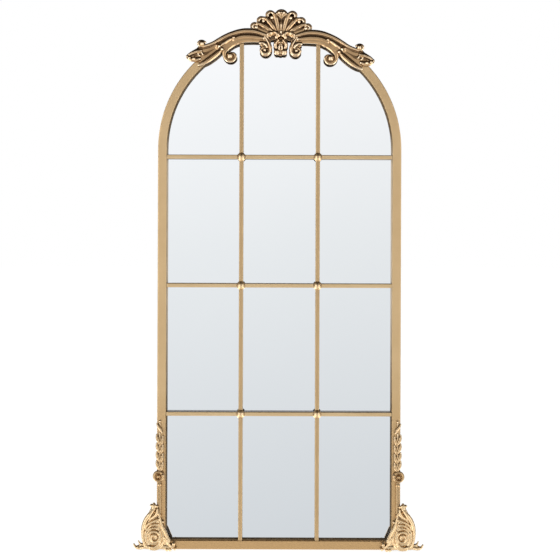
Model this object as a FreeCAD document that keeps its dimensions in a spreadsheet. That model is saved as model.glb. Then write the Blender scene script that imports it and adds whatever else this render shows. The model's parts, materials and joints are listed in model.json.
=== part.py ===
import FreeCAD, Part
import math
import os
import re
import Sketcher

# Arched wall mirror with glazing bars and cast ornaments, in millimetres.
# The origin is the centre of the arch, midway between the two hanger keyholes, on the wall plane.
# +Z is up and the mirror faces -Y.

Vector = FreeCAD.Vector
Y_AXIS = Vector(0, 1, 0)

doc = FreeCAD.newDocument("arched_wall_mirror")

# Driving dimensions
SIZES = {
    "frame_width": 805,
    "spring_height": 1324,
    "arch_leg": 120,
    "tube_width": 30,
    "tube_depth": 25,
    "tube_wall": 1.5,
    "tube_round": 3,
    "stand_off": 4,
    "upper_bar_drop": 26,
    "bar_width": 14,
    "bar_depth": 16,
    "bar_wall": 1.2,
    "bar_round": 2.5,
    "weld_gap": 0.1,
    "rosette_radius": 14.5,
    "rosette_height": 8,
    "glass_thickness": 4,
    "glass_gap": 0.5,
    "strip_thickness": 1.5,
    "strip_depth": 12,
    "strip_gap": 0.3,
    "board_thickness": 5,
    "button_reach": 30,
    "button_width": 14,
    "button_thickness": 1.5,
    "button_play": 0.1,
    "button_low": 345,
    "button_middle": 740,
    "button_high": 1100,
    "button_arch_angle": 45,
    "button_on_rail": 190,
    "pivot_radius": 2,
    "pivot_clearance": 0.05,
    "screw_radius": 2,
    "screw_clearance": 0.1,
    "screw_head_radius": 4,
    "screw_head_height": 1.8,
    "screw_bite": 5,
    "hanger_length": 90,
    "hanger_width": 22,
    "hanger_thickness": 2,
    "hanger_foot": 20,
    "keyhole_radius": 5,
    "slot_radius": 2.5,
    "slot_rise": 12,
    "head_room_radius": 10.5,
    "bumper_radius": 8,
    "bumper_inset": 100,
    "casting_plate": 9,
    "crown_offset": 5,
    "shell_height": 76,
    "shell_half_width": 102,
    "shell_lobe": 13,
    "shell_relief": 26,
    "pendant_drop": 88,
    "cartouche_half_width": 68,
    "cartouche_roll": 10,
    "cartouche_relief": 22,
    "swag_length": 322,
    "swag_rise": 50,
    "swag_roll": 10,
    "swag_relief": 18,
    "shell_screw_rise": 8,
    "cartouche_screw_drop": 8,
    "swag_screw_near": 115,
    "swag_screw_far": 245,
    "foot_height": 150,
    "foot_shoulder": 106,
    "foot_drop": 6,
    "foot_outreach": 76,
    "foot_inreach": 66,
    "foot_roll": 8,
    "foot_eye": 38,
    "foot_relief": 18,
    "foot_screw_low": 45,
    "foot_screw_high": 88,
    "garland_inset": 10,
    "rod_gap": 0.3,
    "rod_radius": 7,
    "ring_height": 242,
    "ring_radius": 16,
    "ring_gap": 3,
    "leaf_length": 166,
    "leaf_half_width": 12,
    "leaf_relief": 11,
    "garland_screw_margin": 25,
}

sheet = doc.addObject("Spreadsheet::Sheet", "sizes")
for row, (alias, value) in enumerate(SIZES.items(), 1):
    sheet.set(f"A{row}", alias)
    sheet.set(f"B{row}", str(value))
    sheet.setAlias(f"B{row}", alias)
doc.recompute()

ALIAS = re.compile(r"\b(" + "|".join(SIZES) + r")\b")


def size(alias):
    """The value of one driving dimension."""
    return float(sheet.get(alias))


def bind(item, prop, formula):
    """Tie a property of an object to a formula of driving dimensions."""
    item.setExpression(prop, ALIAS.sub(r"sizes.\1", str(formula)))


def place(item, x=0, y=0, z=0):
    """Tie the place of an object to formulas."""
    bind(item, "Placement.Base.x", x)
    bind(item, "Placement.Base.y", y)
    bind(item, "Placement.Base.z", z)


# Places that several pieces share, as formulas
HALF_WIDTH = "(frame_width / 2)"
MID_RADIUS = "((frame_width - tube_width) / 2)"
OPENING = "(frame_width / 2 - tube_width)"
BASE = "-spring_height"
TUBE_BACK = "-stand_off"
FRONT = "-(stand_off + tube_depth)"
GLASS_BACK = "-(stand_off + board_thickness)"
GLASS_FRONT = "-(stand_off + board_thickness + glass_thickness)"
PANE_WIDTH = "((frame_width - 2 * tube_width - 2 * bar_width) / 3)"
PANE_HEIGHT = "((spring_height - upper_bar_drop - tube_width - bar_width * 5 / 2) / 3)"
BAR_X = f"({PANE_WIDTH} / 2 + bar_width / 2)"
BAR_ROWS = {
    "lower": f"(tube_width + {PANE_HEIGHT} + bar_width / 2)",
    "middle": f"(tube_width + 2 * {PANE_HEIGHT} + bar_width * 3 / 2)",
    "upper": f"(tube_width + 3 * {PANE_HEIGHT} + bar_width * 5 / 2)",
}
GARLAND_X = "(frame_width / 2 - garland_inset)"
SIDES = {"left": -1, "right": 1}


def new_body(label):
    """An empty body whose label names the piece."""
    body = doc.addObject("PartDesign::Body", label)
    body.Label = label
    return body


def sketch_on(body, name, role):
    """An empty sketch on one of the body's own origin planes."""
    sketch = body.newObject("Sketcher::SketchObject", name)
    plane = next(item for item in body.Origin.OriginFeatures if item.Role == role)
    sketch.AttachmentSupport = [(plane, "")]
    sketch.MapMode = "FlatFace"
    return sketch


def add_constraint(sketch, *parts, name=None, formula=None):
    """Add a constraint and, where it has a name, tie it to a formula."""
    index = sketch.addConstraint(Sketcher.Constraint(*parts))
    if name:
        sketch.renameConstraint(index, name)
        bind(sketch, f"Constraints.{name}", formula)


def line(sketch, start, end):
    """A straight edge of a sketch."""
    return sketch.addGeometry(Part.LineSegment(Vector(*start, 0), Vector(*end, 0)))


def box_profile(sketch, offset, width, depth, rounding, wall):
    """A box section with two rounded front corners and a square hollow.

    The back lies on the sketch's X axis, the section starts at offset and the front is at -depth.
    """
    low, wide, deep, corner, thick = 100.0, 20.0, 20.0, 2.0, 1.0
    high = low + wide
    back = line(sketch, (low, 0), (high, 0))
    right = line(sketch, (high, 0), (high, -deep + corner))
    front = line(sketch, (high - corner, -deep), (low + corner, -deep))
    left = line(sketch, (low, -deep + corner), (low, 0))
    circle = Part.Circle(Vector(high - corner, -deep + corner, 0), Vector(0, 0, 1), corner)
    right_arc = sketch.addGeometry(Part.ArcOfCircle(circle, math.radians(270), math.radians(360)))
    circle = Part.Circle(Vector(low + corner, -deep + corner, 0), Vector(0, 0, 1), corner)
    left_arc = sketch.addGeometry(Part.ArcOfCircle(circle, math.radians(180), math.radians(270)))
    add_constraint(sketch, "Coincident", back, 2, right, 1)
    add_constraint(sketch, "Coincident", left, 2, back, 1)
    add_constraint(sketch, "Tangent", right, 2, right_arc, 2)
    add_constraint(sketch, "Tangent", right_arc, 1, front, 1)
    add_constraint(sketch, "Tangent", front, 2, left_arc, 2)
    add_constraint(sketch, "Tangent", left_arc, 1, left, 1)
    add_constraint(sketch, "Horizontal", back)
    add_constraint(sketch, "Horizontal", front)
    add_constraint(sketch, "Vertical", right)
    add_constraint(sketch, "Vertical", left)
    add_constraint(sketch, "Equal", right_arc, left_arc)
    add_constraint(sketch, "PointOnObject", back, 1, -1)
    add_constraint(sketch, "DistanceX", -1, 1, back, 1, low, name="offset", formula=offset)
    add_constraint(sketch, "DistanceX", back, 1, back, 2, wide, name="width", formula=width)
    add_constraint(sketch, "DistanceY", front, 1, -1, 1, deep, name="depth", formula=depth)
    add_constraint(sketch, "Radius", right_arc, corner, name="rounding", formula=rounding)

    near, far = low + thick, high - thick
    corners = [(near, -thick), (far, -thick), (far, -deep + thick), (near, -deep + thick)]
    edges = [line(sketch, corners[i], corners[(i + 1) % 4]) for i in range(4)]
    for i in range(4):
        add_constraint(sketch, "Coincident", edges[i], 2, edges[(i + 1) % 4], 1)
        add_constraint(sketch, "Horizontal" if i % 2 == 0 else "Vertical", edges[i])
    add_constraint(sketch, "DistanceX", back, 1, edges[0], 1, thick, name="wall_left", formula=wall)
    add_constraint(sketch, "DistanceX", edges[0], 2, back, 2, thick, name="wall_right", formula=wall)
    add_constraint(sketch, "DistanceY", edges[0], 1, back, 1, thick, name="wall_back", formula=wall)
    add_constraint(sketch, "DistanceY", front, 1, edges[2], 1, thick, name="wall_front", formula=wall)


def pad(body, sketch, length, reverse=False):
    """Extrude a sketch by a formula."""
    feature = body.newObject("PartDesign::Pad", "Pad")
    feature.Profile = sketch
    feature.Reversed = reverse
    bind(feature, "Length", length)
    return feature


def straight_tube(label, length, section):
    """A box tube that stands on its own XY plane, with its left edge on the Z axis."""
    body = new_body(label)
    sketch = sketch_on(body, "section", "XY_Plane")
    box_profile(sketch, 0, *section)
    pad(body, sketch, length)
    return body


FRAME_SECTION = ("tube_width", "tube_depth", "tube_round", "tube_wall")
BAR_SECTION = ("bar_width", "bar_depth", "bar_round", "bar_wall")


def lie_along_x(body):
    """Turn an upright tube so that it runs along +X, with its left edge on top."""
    body.Placement = FreeCAD.Placement(Vector(), FreeCAD.Rotation(Y_AXIS, 90))


def cylinder(radius, length, x, y, z):
    """A round bar along +Y that starts at the given place."""
    bar = doc.addObject("Part::Cylinder", "bar")
    bar.Placement = FreeCAD.Placement(Vector(), FreeCAD.Rotation(Vector(1, 0, 0), -90))
    bind(bar, "Radius", radius)
    bind(bar, "Height", length)
    place(bar, x, y, z)
    return bar


def block(width, depth, height, x, y, z):
    """A box with its lowest corner at the given place."""
    item = doc.addObject("Part::Box", "block")
    bind(item, "Length", width)
    bind(item, "Width", depth)
    bind(item, "Height", height)
    place(item, x, y, z)
    return item


def fused(label, items):
    """One solid of several overlapping ones."""
    union = doc.addObject("Part::MultiFuse", label)
    union.Shapes = items
    union.Label = label
    return union


def cut(label, base, tools):
    """A solid with other solids taken out of it."""
    result = doc.addObject("Part::Cut", label)
    result.Base = base
    result.Tool = tools[0] if len(tools) == 1 else fused(label + "_tools", tools)
    result.Label = label
    return result


def screw(x, z, radius, bite, grip):
    """A pan-head screw from the back: it enters the tube back by its bite and clamps its grip."""
    shank = cylinder(radius, f"{bite} + {grip}", x, f"{TUBE_BACK} - {bite}", z)
    head = cylinder("screw_head_radius", "screw_head_height", x, f"{TUBE_BACK} + {grip}", z)
    return fused("screw", [shank, head])


def group(label, items):
    """Several alike pieces that share one node."""
    bundle = doc.addObject("Part::Compound", label)
    bundle.Links = items
    bundle.Label = label
    return bundle


def on_arch(along, radius=MID_RADIUS):
    """X and Z formulas of a point on the arch, given its distance along the rail from the top."""
    angle = f"(({along}) / {MID_RADIUS} * 180 / pi)"
    return f"{radius} * sin({angle})", f"{radius} * cos({angle})"


# Fixing places

BUTTON_LEVELS = ("low", "middle", "high")
BUTTON_PLACES = {}
for side, sign in SIDES.items():
    stile_x = f"{sign} * {MID_RADIUS}"
    for level in BUTTON_LEVELS:
        BUTTON_PLACES[f"{side}_{level}"] = (stile_x, f"button_{level} - spring_height", f"{-90 * sign}")
    arch_turn = f"{sign} * button_arch_angle"
    arch_place = (f"{MID_RADIUS} * sin({arch_turn})", f"{MID_RADIUS} * cos({arch_turn})")
    BUTTON_PLACES[f"arch_{side}"] = (*arch_place, f"180 + {arch_turn}")
    BUTTON_PLACES[f"bottom_{side}"] = (f"{sign} * button_on_rail", "tube_width / 2 - spring_height", "0")

CROWN_PLACES = {
    "centre": [
        on_arch("crown_offset", f"({MID_RADIUS} + shell_screw_rise)"),
        on_arch("crown_offset", f"({MID_RADIUS} - cartouche_screw_drop)"),
    ],
    "swag_left": [on_arch("crown_offset - swag_screw_near"), on_arch("crown_offset - swag_screw_far")],
    "swag_right": [on_arch("crown_offset + swag_screw_near"), on_arch("crown_offset + swag_screw_far")],
}
FOOT_HEIGHTS = ("foot_screw_low", "foot_screw_high")
ROD_TOP = "(ring_height - ring_radius - ring_gap)"
LEAF_BOTTOM = "(ring_height + ring_radius + ring_gap)"
GARLAND_HEIGHTS = {
    "rod": ("foot_shoulder + rod_gap + garland_screw_margin", f"{ROD_TOP} - garland_screw_margin"),
    "ring": ("ring_height",),
    "leaf": (f"{LEAF_BOTTOM} + garland_screw_margin", f"{LEAF_BOTTOM} + leaf_length - garland_screw_margin"),
}


def stile_places(sign, heights):
    """X and Z formulas of fixings on the garland line of one stile."""
    return [(f"{sign} * {GARLAND_X}", f"{height} - spring_height") for height in heights]


FOOT_PLACES = {side: stile_places(sign, FOOT_HEIGHTS) for side, sign in SIDES.items()}
GARLAND_PLACES = {}
for side, sign in SIDES.items():
    for piece, heights in GARLAND_HEIGHTS.items():
        GARLAND_PLACES[f"{piece}_{side}"] = stile_places(sign, heights)

HANGER_SCREW = "(hanger_length / 2 - hanger_foot / 2)"
SCREW_HOLE = "(screw_radius + screw_clearance)"


def through_holes(places):
    """Screw holes through both walls of a frame tube."""
    depth = "tube_depth + 2 * tube_wall"
    return [cylinder(SCREW_HOLE, depth, x, f"{FRONT} - tube_wall", z) for x, z in places]


def back_holes(places, radius=SCREW_HOLE):
    """Holes through the back wall of a frame tube."""
    depth = "2 * tube_wall"
    return [cylinder(radius, depth, x, f"{TUBE_BACK} - 3 / 2 * tube_wall", z) for x, z in places]


def button_places(names):
    """X and Z of the named turn buttons' pivots."""
    return [BUTTON_PLACES[name][:2] for name in names]


# Frame tubes

def make_stiles():
    """Left and right stile, from the floor edge up to the legs of the arch."""
    for side, sign in SIDES.items():
        tube = straight_tube(f"{side}_stile_tube", "spring_height - arch_leg", FRAME_SECTION)
        x = f"-{HALF_WIDTH}" if sign < 0 else OPENING
        place(tube, x, TUBE_BACK, BASE)
        castings = list(FOOT_PLACES[side])
        for piece in GARLAND_HEIGHTS:
            castings += GARLAND_PLACES[f"{piece}_{side}"]
        holes = through_holes(castings)
        holes += back_holes(button_places(f"{side}_{level}" for level in BUTTON_LEVELS))
        cut(f"{side}_stile", tube, holes)


def make_bottom_rail():
    """Bottom rail between the stiles."""
    tube = straight_tube("bottom_rail_tube", f"2 * {OPENING}", FRAME_SECTION)
    lie_along_x(tube)
    place(tube, f"-{OPENING}", TUBE_BACK, f"{BASE} + tube_width")
    cut("bottom_rail", tube, back_holes(button_places(("bottom_left", "bottom_right"))))


def make_arch_rail():
    """Half-round rail with two straight legs, bent from one tube."""
    body = new_body("arch_rail_tube")
    sketch = sketch_on(body, "section", "XY_Plane")
    box_profile(sketch, OPENING, *FRAME_SECTION)
    bend = body.newObject("PartDesign::Revolution", "bend")
    bend.Profile = sketch
    bend.ReferenceAxis = (sketch, ["V_Axis"])
    bend.Angle = 180
    bend.Reversed = True
    place(body, 0, TUBE_BACK, 0)
    legs = []
    for side, sign in SIDES.items():
        leg = straight_tube(f"arch_leg_{side}", "arch_leg", FRAME_SECTION)
        place(leg, f"-{HALF_WIDTH}" if sign < 0 else OPENING, TUBE_BACK, "-arch_leg")
        legs.append(leg)
    rail = fused("arch_rail_bent", [body] + legs)
    rail.Refine = True
    screws = [spot for places in CROWN_PLACES.values() for spot in places]
    leg_middles = [f"{sign} * {MID_RADIUS}" for sign in SIDES.values()]
    hanger_screws = [(x, f"{step} * {HANGER_SCREW}") for x in leg_middles for step in (-1, 1)]
    head_rooms = [(x, "slot_rise / 2") for x in leg_middles]
    holes = through_holes(screws)
    holes += back_holes(hanger_screws + button_places(("arch_left", "arch_right")))
    holes += back_holes(head_rooms, "head_room_radius")
    cut("arch_rail", rail, holes)


# Glazing bars

def make_vertical_bars():
    """Two tall bars from the bottom rail up to the inside of the arch."""
    spandrel_side = "(frame_width + 2 * tube_width)"
    spandrel_x = f"-{spandrel_side} / 2"
    spandrel_front = f"{FRONT} - tube_depth / 2"
    full_height = f"spring_height - tube_width + {OPENING}"
    for side, sign in SIDES.items():
        tall = straight_tube(f"vertical_bar_{side}_tube", full_height, BAR_SECTION)
        place(tall, f"{sign} * {BAR_X} - bar_width / 2", f"{FRONT} + bar_depth", f"{BASE} + tube_width")
        above = block(spandrel_side, "2 * tube_depth", spandrel_side, spandrel_x, spandrel_front, 0)
        round_opening = cylinder(f"{OPENING} - weld_gap", "3 * tube_depth", 0, f"{FRONT} - tube_depth", 0)
        spandrel = cut(f"spandrel_{side}", above, [round_opening])
        cut(f"vertical_bar_{side}", tall, [spandrel])


def make_horizontal_bars():
    """Three rows of three short bars between the stiles and the tall bars."""
    for row_name, height in BAR_ROWS.items():
        for column, shift in (("left", -1), ("centre", 0), ("right", 1)):
            bar = straight_tube(f"{row_name}_bar_{column}", PANE_WIDTH, BAR_SECTION)
            lie_along_x(bar)
            x = f"{shift} * 2 * {BAR_X} - {PANE_WIDTH} / 2"
            place(bar, x, f"{FRONT} + bar_depth", f"{height} + bar_width / 2 - spring_height")


def dome_body():
    """A low dome about its own Y axis, with its flat back on the XZ plane."""
    body = new_body("crossing_dome")
    sketch = sketch_on(body, "half_dome", "XY_Plane")
    radius, rise = size("rosette_radius"), size("rosette_height")
    lift = (radius ** 2 - rise ** 2) / (2 * rise)
    circle = Part.Circle(Vector(0, lift, 0), Vector(0, 0, 1), math.hypot(radius, lift))
    last_angle = math.atan2(-lift, radius) + math.radians(360)
    arc = sketch.addGeometry(Part.ArcOfCircle(circle, math.radians(270), last_angle))
    base = line(sketch, (0, 0), (radius, 0))
    axis = line(sketch, (0, -rise), (0, 0))
    add_constraint(sketch, "Coincident", axis, 2, -1, 1)
    add_constraint(sketch, "Coincident", base, 1, -1, 1)
    add_constraint(sketch, "Coincident", axis, 1, arc, 1)
    add_constraint(sketch, "Coincident", base, 2, arc, 2)
    add_constraint(sketch, "Vertical", axis)
    add_constraint(sketch, "Horizontal", base)
    add_constraint(sketch, "PointOnObject", arc, 3, -2)
    add_constraint(sketch, "DistanceX", base, 1, base, 2, radius, name="radius", formula="rosette_radius")
    add_constraint(sketch, "DistanceY", axis, 1, axis, 2, rise, name="rise", formula="rosette_height")
    dome = body.newObject("PartDesign::Revolution", "dome")
    dome.Profile = sketch
    dome.ReferenceAxis = (sketch, ["V_Axis"])
    dome.Angle = 360
    return body


def make_crossing_rosettes():
    """A low dome on each crossing of the bars."""
    domes = []
    for height in BAR_ROWS.values():
        for sign in SIDES.values():
            body = dome_body()
            place(body, f"{sign} * {BAR_X}", FRONT, f"{height} - spring_height")
            domes.append(body)
    group("crossing_rosettes", domes)


# Glass, strips and board

def arched_outline(sketch, name, half_width, drop):
    """An arched window outline about the arch centre: round top and a flat bottom at -drop."""
    wide, low = 300.0, 1000.0
    circle = Part.Circle(Vector(0, 0, 0), Vector(0, 0, 1), wide)
    top = sketch.addGeometry(Part.ArcOfCircle(circle, 0, math.pi))
    left = line(sketch, (-wide, 0), (-wide, -low))
    bottom = line(sketch, (-wide, -low), (wide, -low))
    right = line(sketch, (wide, -low), (wide, 0))
    add_constraint(sketch, "Coincident", top, 3, -1, 1)
    add_constraint(sketch, "Tangent", top, 2, left, 1)
    add_constraint(sketch, "Coincident", left, 2, bottom, 1)
    add_constraint(sketch, "Coincident", bottom, 2, right, 1)
    add_constraint(sketch, "Tangent", right, 2, top, 1)
    add_constraint(sketch, "Horizontal", bottom)
    add_constraint(sketch, "Vertical", left)
    add_constraint(sketch, "Vertical", right)
    add_constraint(sketch, "Radius", top, wide, name=f"{name}_radius", formula=half_width)
    add_constraint(sketch, "DistanceY", bottom, 1, -1, 1, low, name=f"{name}_drop", formula=drop)


OPENING_DROP = "(spring_height - tube_width)"


def arched_plate(label, gap, thickness, back):
    """A flat arched sheet inside the frame opening, with its back at the given depth."""
    body = new_body(label)
    sketch = sketch_on(body, "outline", "XZ_Plane")
    arched_outline(sketch, "edge", f"{OPENING} - {gap}", f"{OPENING_DROP} - {gap}")
    pad(body, sketch, thickness)
    place(body, 0, back, 0)
    return body


def make_glazing():
    """Mirror glass, backing board and the dark strips in front of the glass."""
    arched_plate("mirror_glass", "glass_gap", "glass_thickness", GLASS_BACK)
    arched_plate("backing_board", "glass_gap", "board_thickness", TUBE_BACK)
    lining = new_body("strip_lining")
    sketch = sketch_on(lining, "outline", "XZ_Plane")
    arched_outline(sketch, "outside", OPENING, OPENING_DROP)
    arched_outline(sketch, "inside", f"{OPENING} - strip_thickness", f"{OPENING_DROP} - strip_thickness")
    pad(lining, sketch, "strip_depth")
    place(lining, 0, GLASS_FRONT, 0)
    notch = "(bar_width + 2 * strip_gap)"
    depth = "2 * strip_depth"
    deep = f"{GLASS_FRONT} - 3 / 2 * strip_depth"
    notches = []
    for height in BAR_ROWS.values():
        low = f"{height} - {notch} / 2 - spring_height"
        notches.append(block("frame_width", depth, notch, f"-{HALF_WIDTH}", deep, low))
    for sign in SIDES.values():
        near = f"{sign} * {BAR_X} - {notch} / 2"
        notches.append(block(notch, depth, "spring_height + frame_width", near, deep, BASE))
    cut("glazing_strips", lining, notches)


# Turn buttons

def button_body(label):
    """A flat button with round ends that stands up from its bore."""
    body = new_body(label)
    sketch = sketch_on(body, "outline", "XZ_Plane")
    half, hole = size("button_width") / 2, size("pivot_radius") + size("pivot_clearance")
    reach = size("button_reach") - half
    upright = Vector(0, 0, 1)
    low_circle = Part.Circle(Vector(0, 0, 0), upright, half)
    high_circle = Part.Circle(Vector(0, reach, 0), upright, half)
    low = sketch.addGeometry(Part.ArcOfCircle(low_circle, math.pi, 2 * math.pi))
    high = sketch.addGeometry(Part.ArcOfCircle(high_circle, 0, math.pi))
    right = line(sketch, (half, 0), (half, reach))
    left = line(sketch, (-half, reach), (-half, 0))
    bore = sketch.addGeometry(Part.Circle(Vector(0, 0, 0), upright, hole))
    span = "button_reach - button_width / 2"
    add_constraint(sketch, "Coincident", low, 3, -1, 1)
    add_constraint(sketch, "Coincident", bore, 3, -1, 1)
    add_constraint(sketch, "PointOnObject", high, 3, -2)
    add_constraint(sketch, "Tangent", low, 2, right, 1)
    add_constraint(sketch, "Tangent", right, 2, high, 1)
    add_constraint(sketch, "Tangent", high, 2, left, 1)
    add_constraint(sketch, "Tangent", left, 2, low, 1)
    add_constraint(sketch, "Vertical", right)
    add_constraint(sketch, "Radius", low, half, name="half_width", formula="button_width / 2")
    add_constraint(sketch, "DistanceY", low, 3, high, 3, reach, name="reach", formula=span)
    add_constraint(sketch, "Radius", bore, hole, name="bore", formula="pivot_radius + pivot_clearance")
    pad(body, sketch, "button_thickness", reverse=True)
    body.Placement = FreeCAD.Placement(Vector(), FreeCAD.Rotation(Y_AXIS, 1))
    return body


def make_turn_buttons():
    """Flat buttons that hold the board in, each on a shouldered screw in the back of the frame."""
    screws = []
    shoulder = "(button_thickness + 2 * button_play)"
    for name, (x, z, turn) in BUTTON_PLACES.items():
        body = button_body(f"turn_button_{name}")
        bind(body, "Placement.Rotation.Angle", turn)
        place(body, x, f"{TUBE_BACK} + button_play", z)
        screws.append(screw(x, z, "pivot_radius", "screw_bite", shoulder))
    group("turn_button_screws", screws)


# Hangers, bumpers and casting screws

def make_hangers():
    """Two raised keyhole straps on the legs of the arch, with their screws."""
    screws = []
    gap_height = "(hanger_length - 2 * hanger_foot)"
    bridge_height = f"({gap_height} + 2 * hanger_thickness)"
    bridge_room = "stand_off - hanger_thickness"
    depth = "3 * hanger_thickness"
    deep = "-2 * hanger_thickness"
    for side, sign in SIDES.items():
        x = f"{sign} * {MID_RADIUS}"

        def strap_block(thickness, height):
            left_edge = f"{x} - hanger_width / 2"
            return block("hanger_width", thickness, height, left_edge, TUBE_BACK, f"-{height} / 2")

        feet = strap_block("hanger_thickness", "hanger_length")
        both_feet = cut(f"strap_feet_{side}", feet, [strap_block("hanger_thickness", gap_height)])
        raised_strap = strap_block("stand_off", bridge_height)
        bridge = cut(f"strap_bridge_{side}", raised_strap, [strap_block(bridge_room, gap_height)])
        strap = fused(f"strap_{side}", [both_feet, bridge])
        strap.Refine = True
        entry = cylinder("keyhole_radius", depth, x, deep, 0)
        slot = block("2 * slot_radius", depth, "slot_rise", f"{x} - slot_radius", deep, 0)
        slot_end = cylinder("slot_radius", depth, x, deep, "slot_rise")
        holes = [entry, slot, slot_end]
        for step in (-1, 1):
            z = f"{step} * {HANGER_SCREW}"
            holes.append(cylinder(SCREW_HOLE, depth, x, f"{TUBE_BACK} - hanger_thickness", z))
            screws.append(screw(x, z, "screw_radius", "screw_bite", "hanger_thickness"))
        cut(f"keyhole_hanger_{side}", strap, holes)
    group("hanger_screws", screws)


def make_bumpers():
    """Two rubber bumpers on the back of the bottom rail."""
    height = "tube_width / 2 - spring_height"
    for side, sign in SIDES.items():
        x = f"{sign} * ({HALF_WIDTH} - bumper_inset)"
        bumper = cylinder("bumper_radius", "stand_off", x, TUBE_BACK, height)
        bumper.Label = f"wall_bumper_{side}"


def make_casting_screws():
    """Pan-head screws from the back of the tubes into the castings, in three groups."""
    garland = [spot for places in GARLAND_PLACES.values() for spot in places]
    feet = [spot for places in FOOT_PLACES.values() for spot in places]
    crown = [spot for places in CROWN_PLACES.values() for spot in places]
    for label, places in (("crown_screws", crown), ("foot_screws", feet), ("garland_screws", garland)):
        group(label, [screw(x, z, "screw_radius", "(tube_depth + screw_bite)", 0) for x, z in places])


# Castings: each is drawn in relief on the plane of the tube fronts, with the viewer on its -Y side.
# A casting is a base plate of its outline, narrower ridges of full relief and round beads.

TRIM_SIZE = 4 * size("frame_width")


def smooth_edge(points):
    """A smooth curve through points of the relief plane."""
    curve = Part.BSplineCurve()
    curve.interpolate([Vector(x, 0, z) for x, z in points])
    return curve.toShape()


def round_end(start, tip, end):
    """A half circle that closes the end of a band."""
    return Part.Arc(*[Vector(x, 0, z) for x, z in (start, tip, end)]).toShape()


def round_face(x, z, radius):
    """A filled circle in the relief plane."""
    return Part.Face(Part.Wire([Part.makeCircle(radius, Vector(x, 0, z), Y_AXIS)]))


def ribbon(points, first_width, last_width):
    """A smooth band along points, from its first to its last half width, with round ends."""
    middle = Part.BSplineCurve()
    middle.interpolate([Vector(x, 0, z) for x, z in points])
    near_side = []
    far_side = []
    tips = []
    for index, (x, z) in enumerate(points):
        share = index / (len(points) - 1)
        half = first_width + (last_width - first_width) * share
        along = middle.tangent(middle.parameter(Vector(x, 0, z)))[0]
        near_side.append((x - along.z * half, z + along.x * half))
        far_side.append((x + along.z * half, z - along.x * half))
        ahead = 1 if share else -1
        tips.append((x + ahead * along.x * half, z + ahead * along.z * half))
    return Part.Face(Part.Wire([
        smooth_edge(near_side),
        round_end(near_side[-1], tips[-1], far_side[-1]),
        smooth_edge(far_side[::-1]),
        round_end(far_side[0], tips[0], near_side[0]),
    ]))


def spiral(centre, first_radius, last_radius, first_angle, turns):
    """Points of a spiral; angles are in degrees and negative turns run clockwise."""
    steps_per_turn = 8
    steps = max(3, round(abs(turns) * steps_per_turn))
    points = []
    for step in range(steps + 1):
        share = step / steps
        radius = first_radius + (last_radius - first_radius) * share
        angle = math.radians(first_angle + 360 * turns * share)
        points.append((centre[0] + radius * math.cos(angle), centre[1] + radius * math.sin(angle)))
    return points


def raised(faces, height):
    """Solids of the joined faces, standing that high on the relief plane."""
    joined = faces[0].fuse(faces[1:]).removeSplitter()
    return joined.extrude(Vector(0, -height, 0)).Solids


def bead(place_xz, radius, top):
    """A round bead whose top stands that high."""
    x, z = place_xz
    return Part.makeSphere(radius, Vector(x, radius - top, z))


def mirrored(shape):
    """The left-hand copy of a right-hand shape."""
    return shape.mirror(Vector(0, 0, 0), Vector(1, 0, 0))


def both_sides(shapes):
    """Right-hand shapes and their left-hand copies."""
    return shapes + [mirrored(shape) for shape in shapes]


def bent(along, out):
    """A point given by its distance along the arch from the top and out from the rail's middle."""
    mid_radius = (size("frame_width") - size("tube_width")) / 2
    angle = along / mid_radius
    radius = mid_radius + out
    return radius * math.sin(angle), radius * math.cos(angle)


def bent_line(points):
    """A list of points along the arch, bent with it."""
    return [bent(along, out) for along, out in points]


def flat_backed(pieces):
    """Overlapping solids as one, cut off at the relief plane."""
    behind = Part.makeBox(TRIM_SIZE, TRIM_SIZE, TRIM_SIZE, Vector(-TRIM_SIZE / 2, 0, -TRIM_SIZE / 2))
    return pieces[0].fuse(pieces[1:]).cut(behind)


def cast(outline, ridges, beads, relief):
    """One solid of an outline plate, ridges of full relief and beads, with a flat back."""
    return flat_backed(raised(outline, size("casting_plate")) + raised(ridges, relief) + beads)


def drilled(shape, places):
    """A casting with blind screw holes in its back."""
    radius = size("screw_radius") + size("screw_clearance")
    depth = size("screw_bite") + size("screw_clearance")
    for x, z in places:
        shape = shape.cut(Part.makeCylinder(radius, depth, Vector(x, 0, z), -Y_AXIS))
    return shape


def on_crown(shape):
    """A crown casting moved along the arch to its place, a little right of the middle."""
    turn = size("crown_offset") / ((size("frame_width") - size("tube_width")) / 2)
    return shape.rotated(Vector(0, 0, 0), Y_AXIS, math.degrees(turn))


def casting(label, shape):
    """Add a finished casting to the document, on the front plane of the tubes."""
    if len(shape.Solids) != 1:
        raise RuntimeError(f"{label} is {len(shape.Solids)} solids")
    item = doc.addObject("Part::Feature", label)
    item.Label = label
    item.Shape = shape.Solids[0]
    place(item, 0, FRONT, 0)


def crown_height(rise):
    """Height above the arch centre of a point that far above the top of the rail's middle line."""
    return (size("frame_width") - size("tube_width")) / 2 + rise


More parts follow.
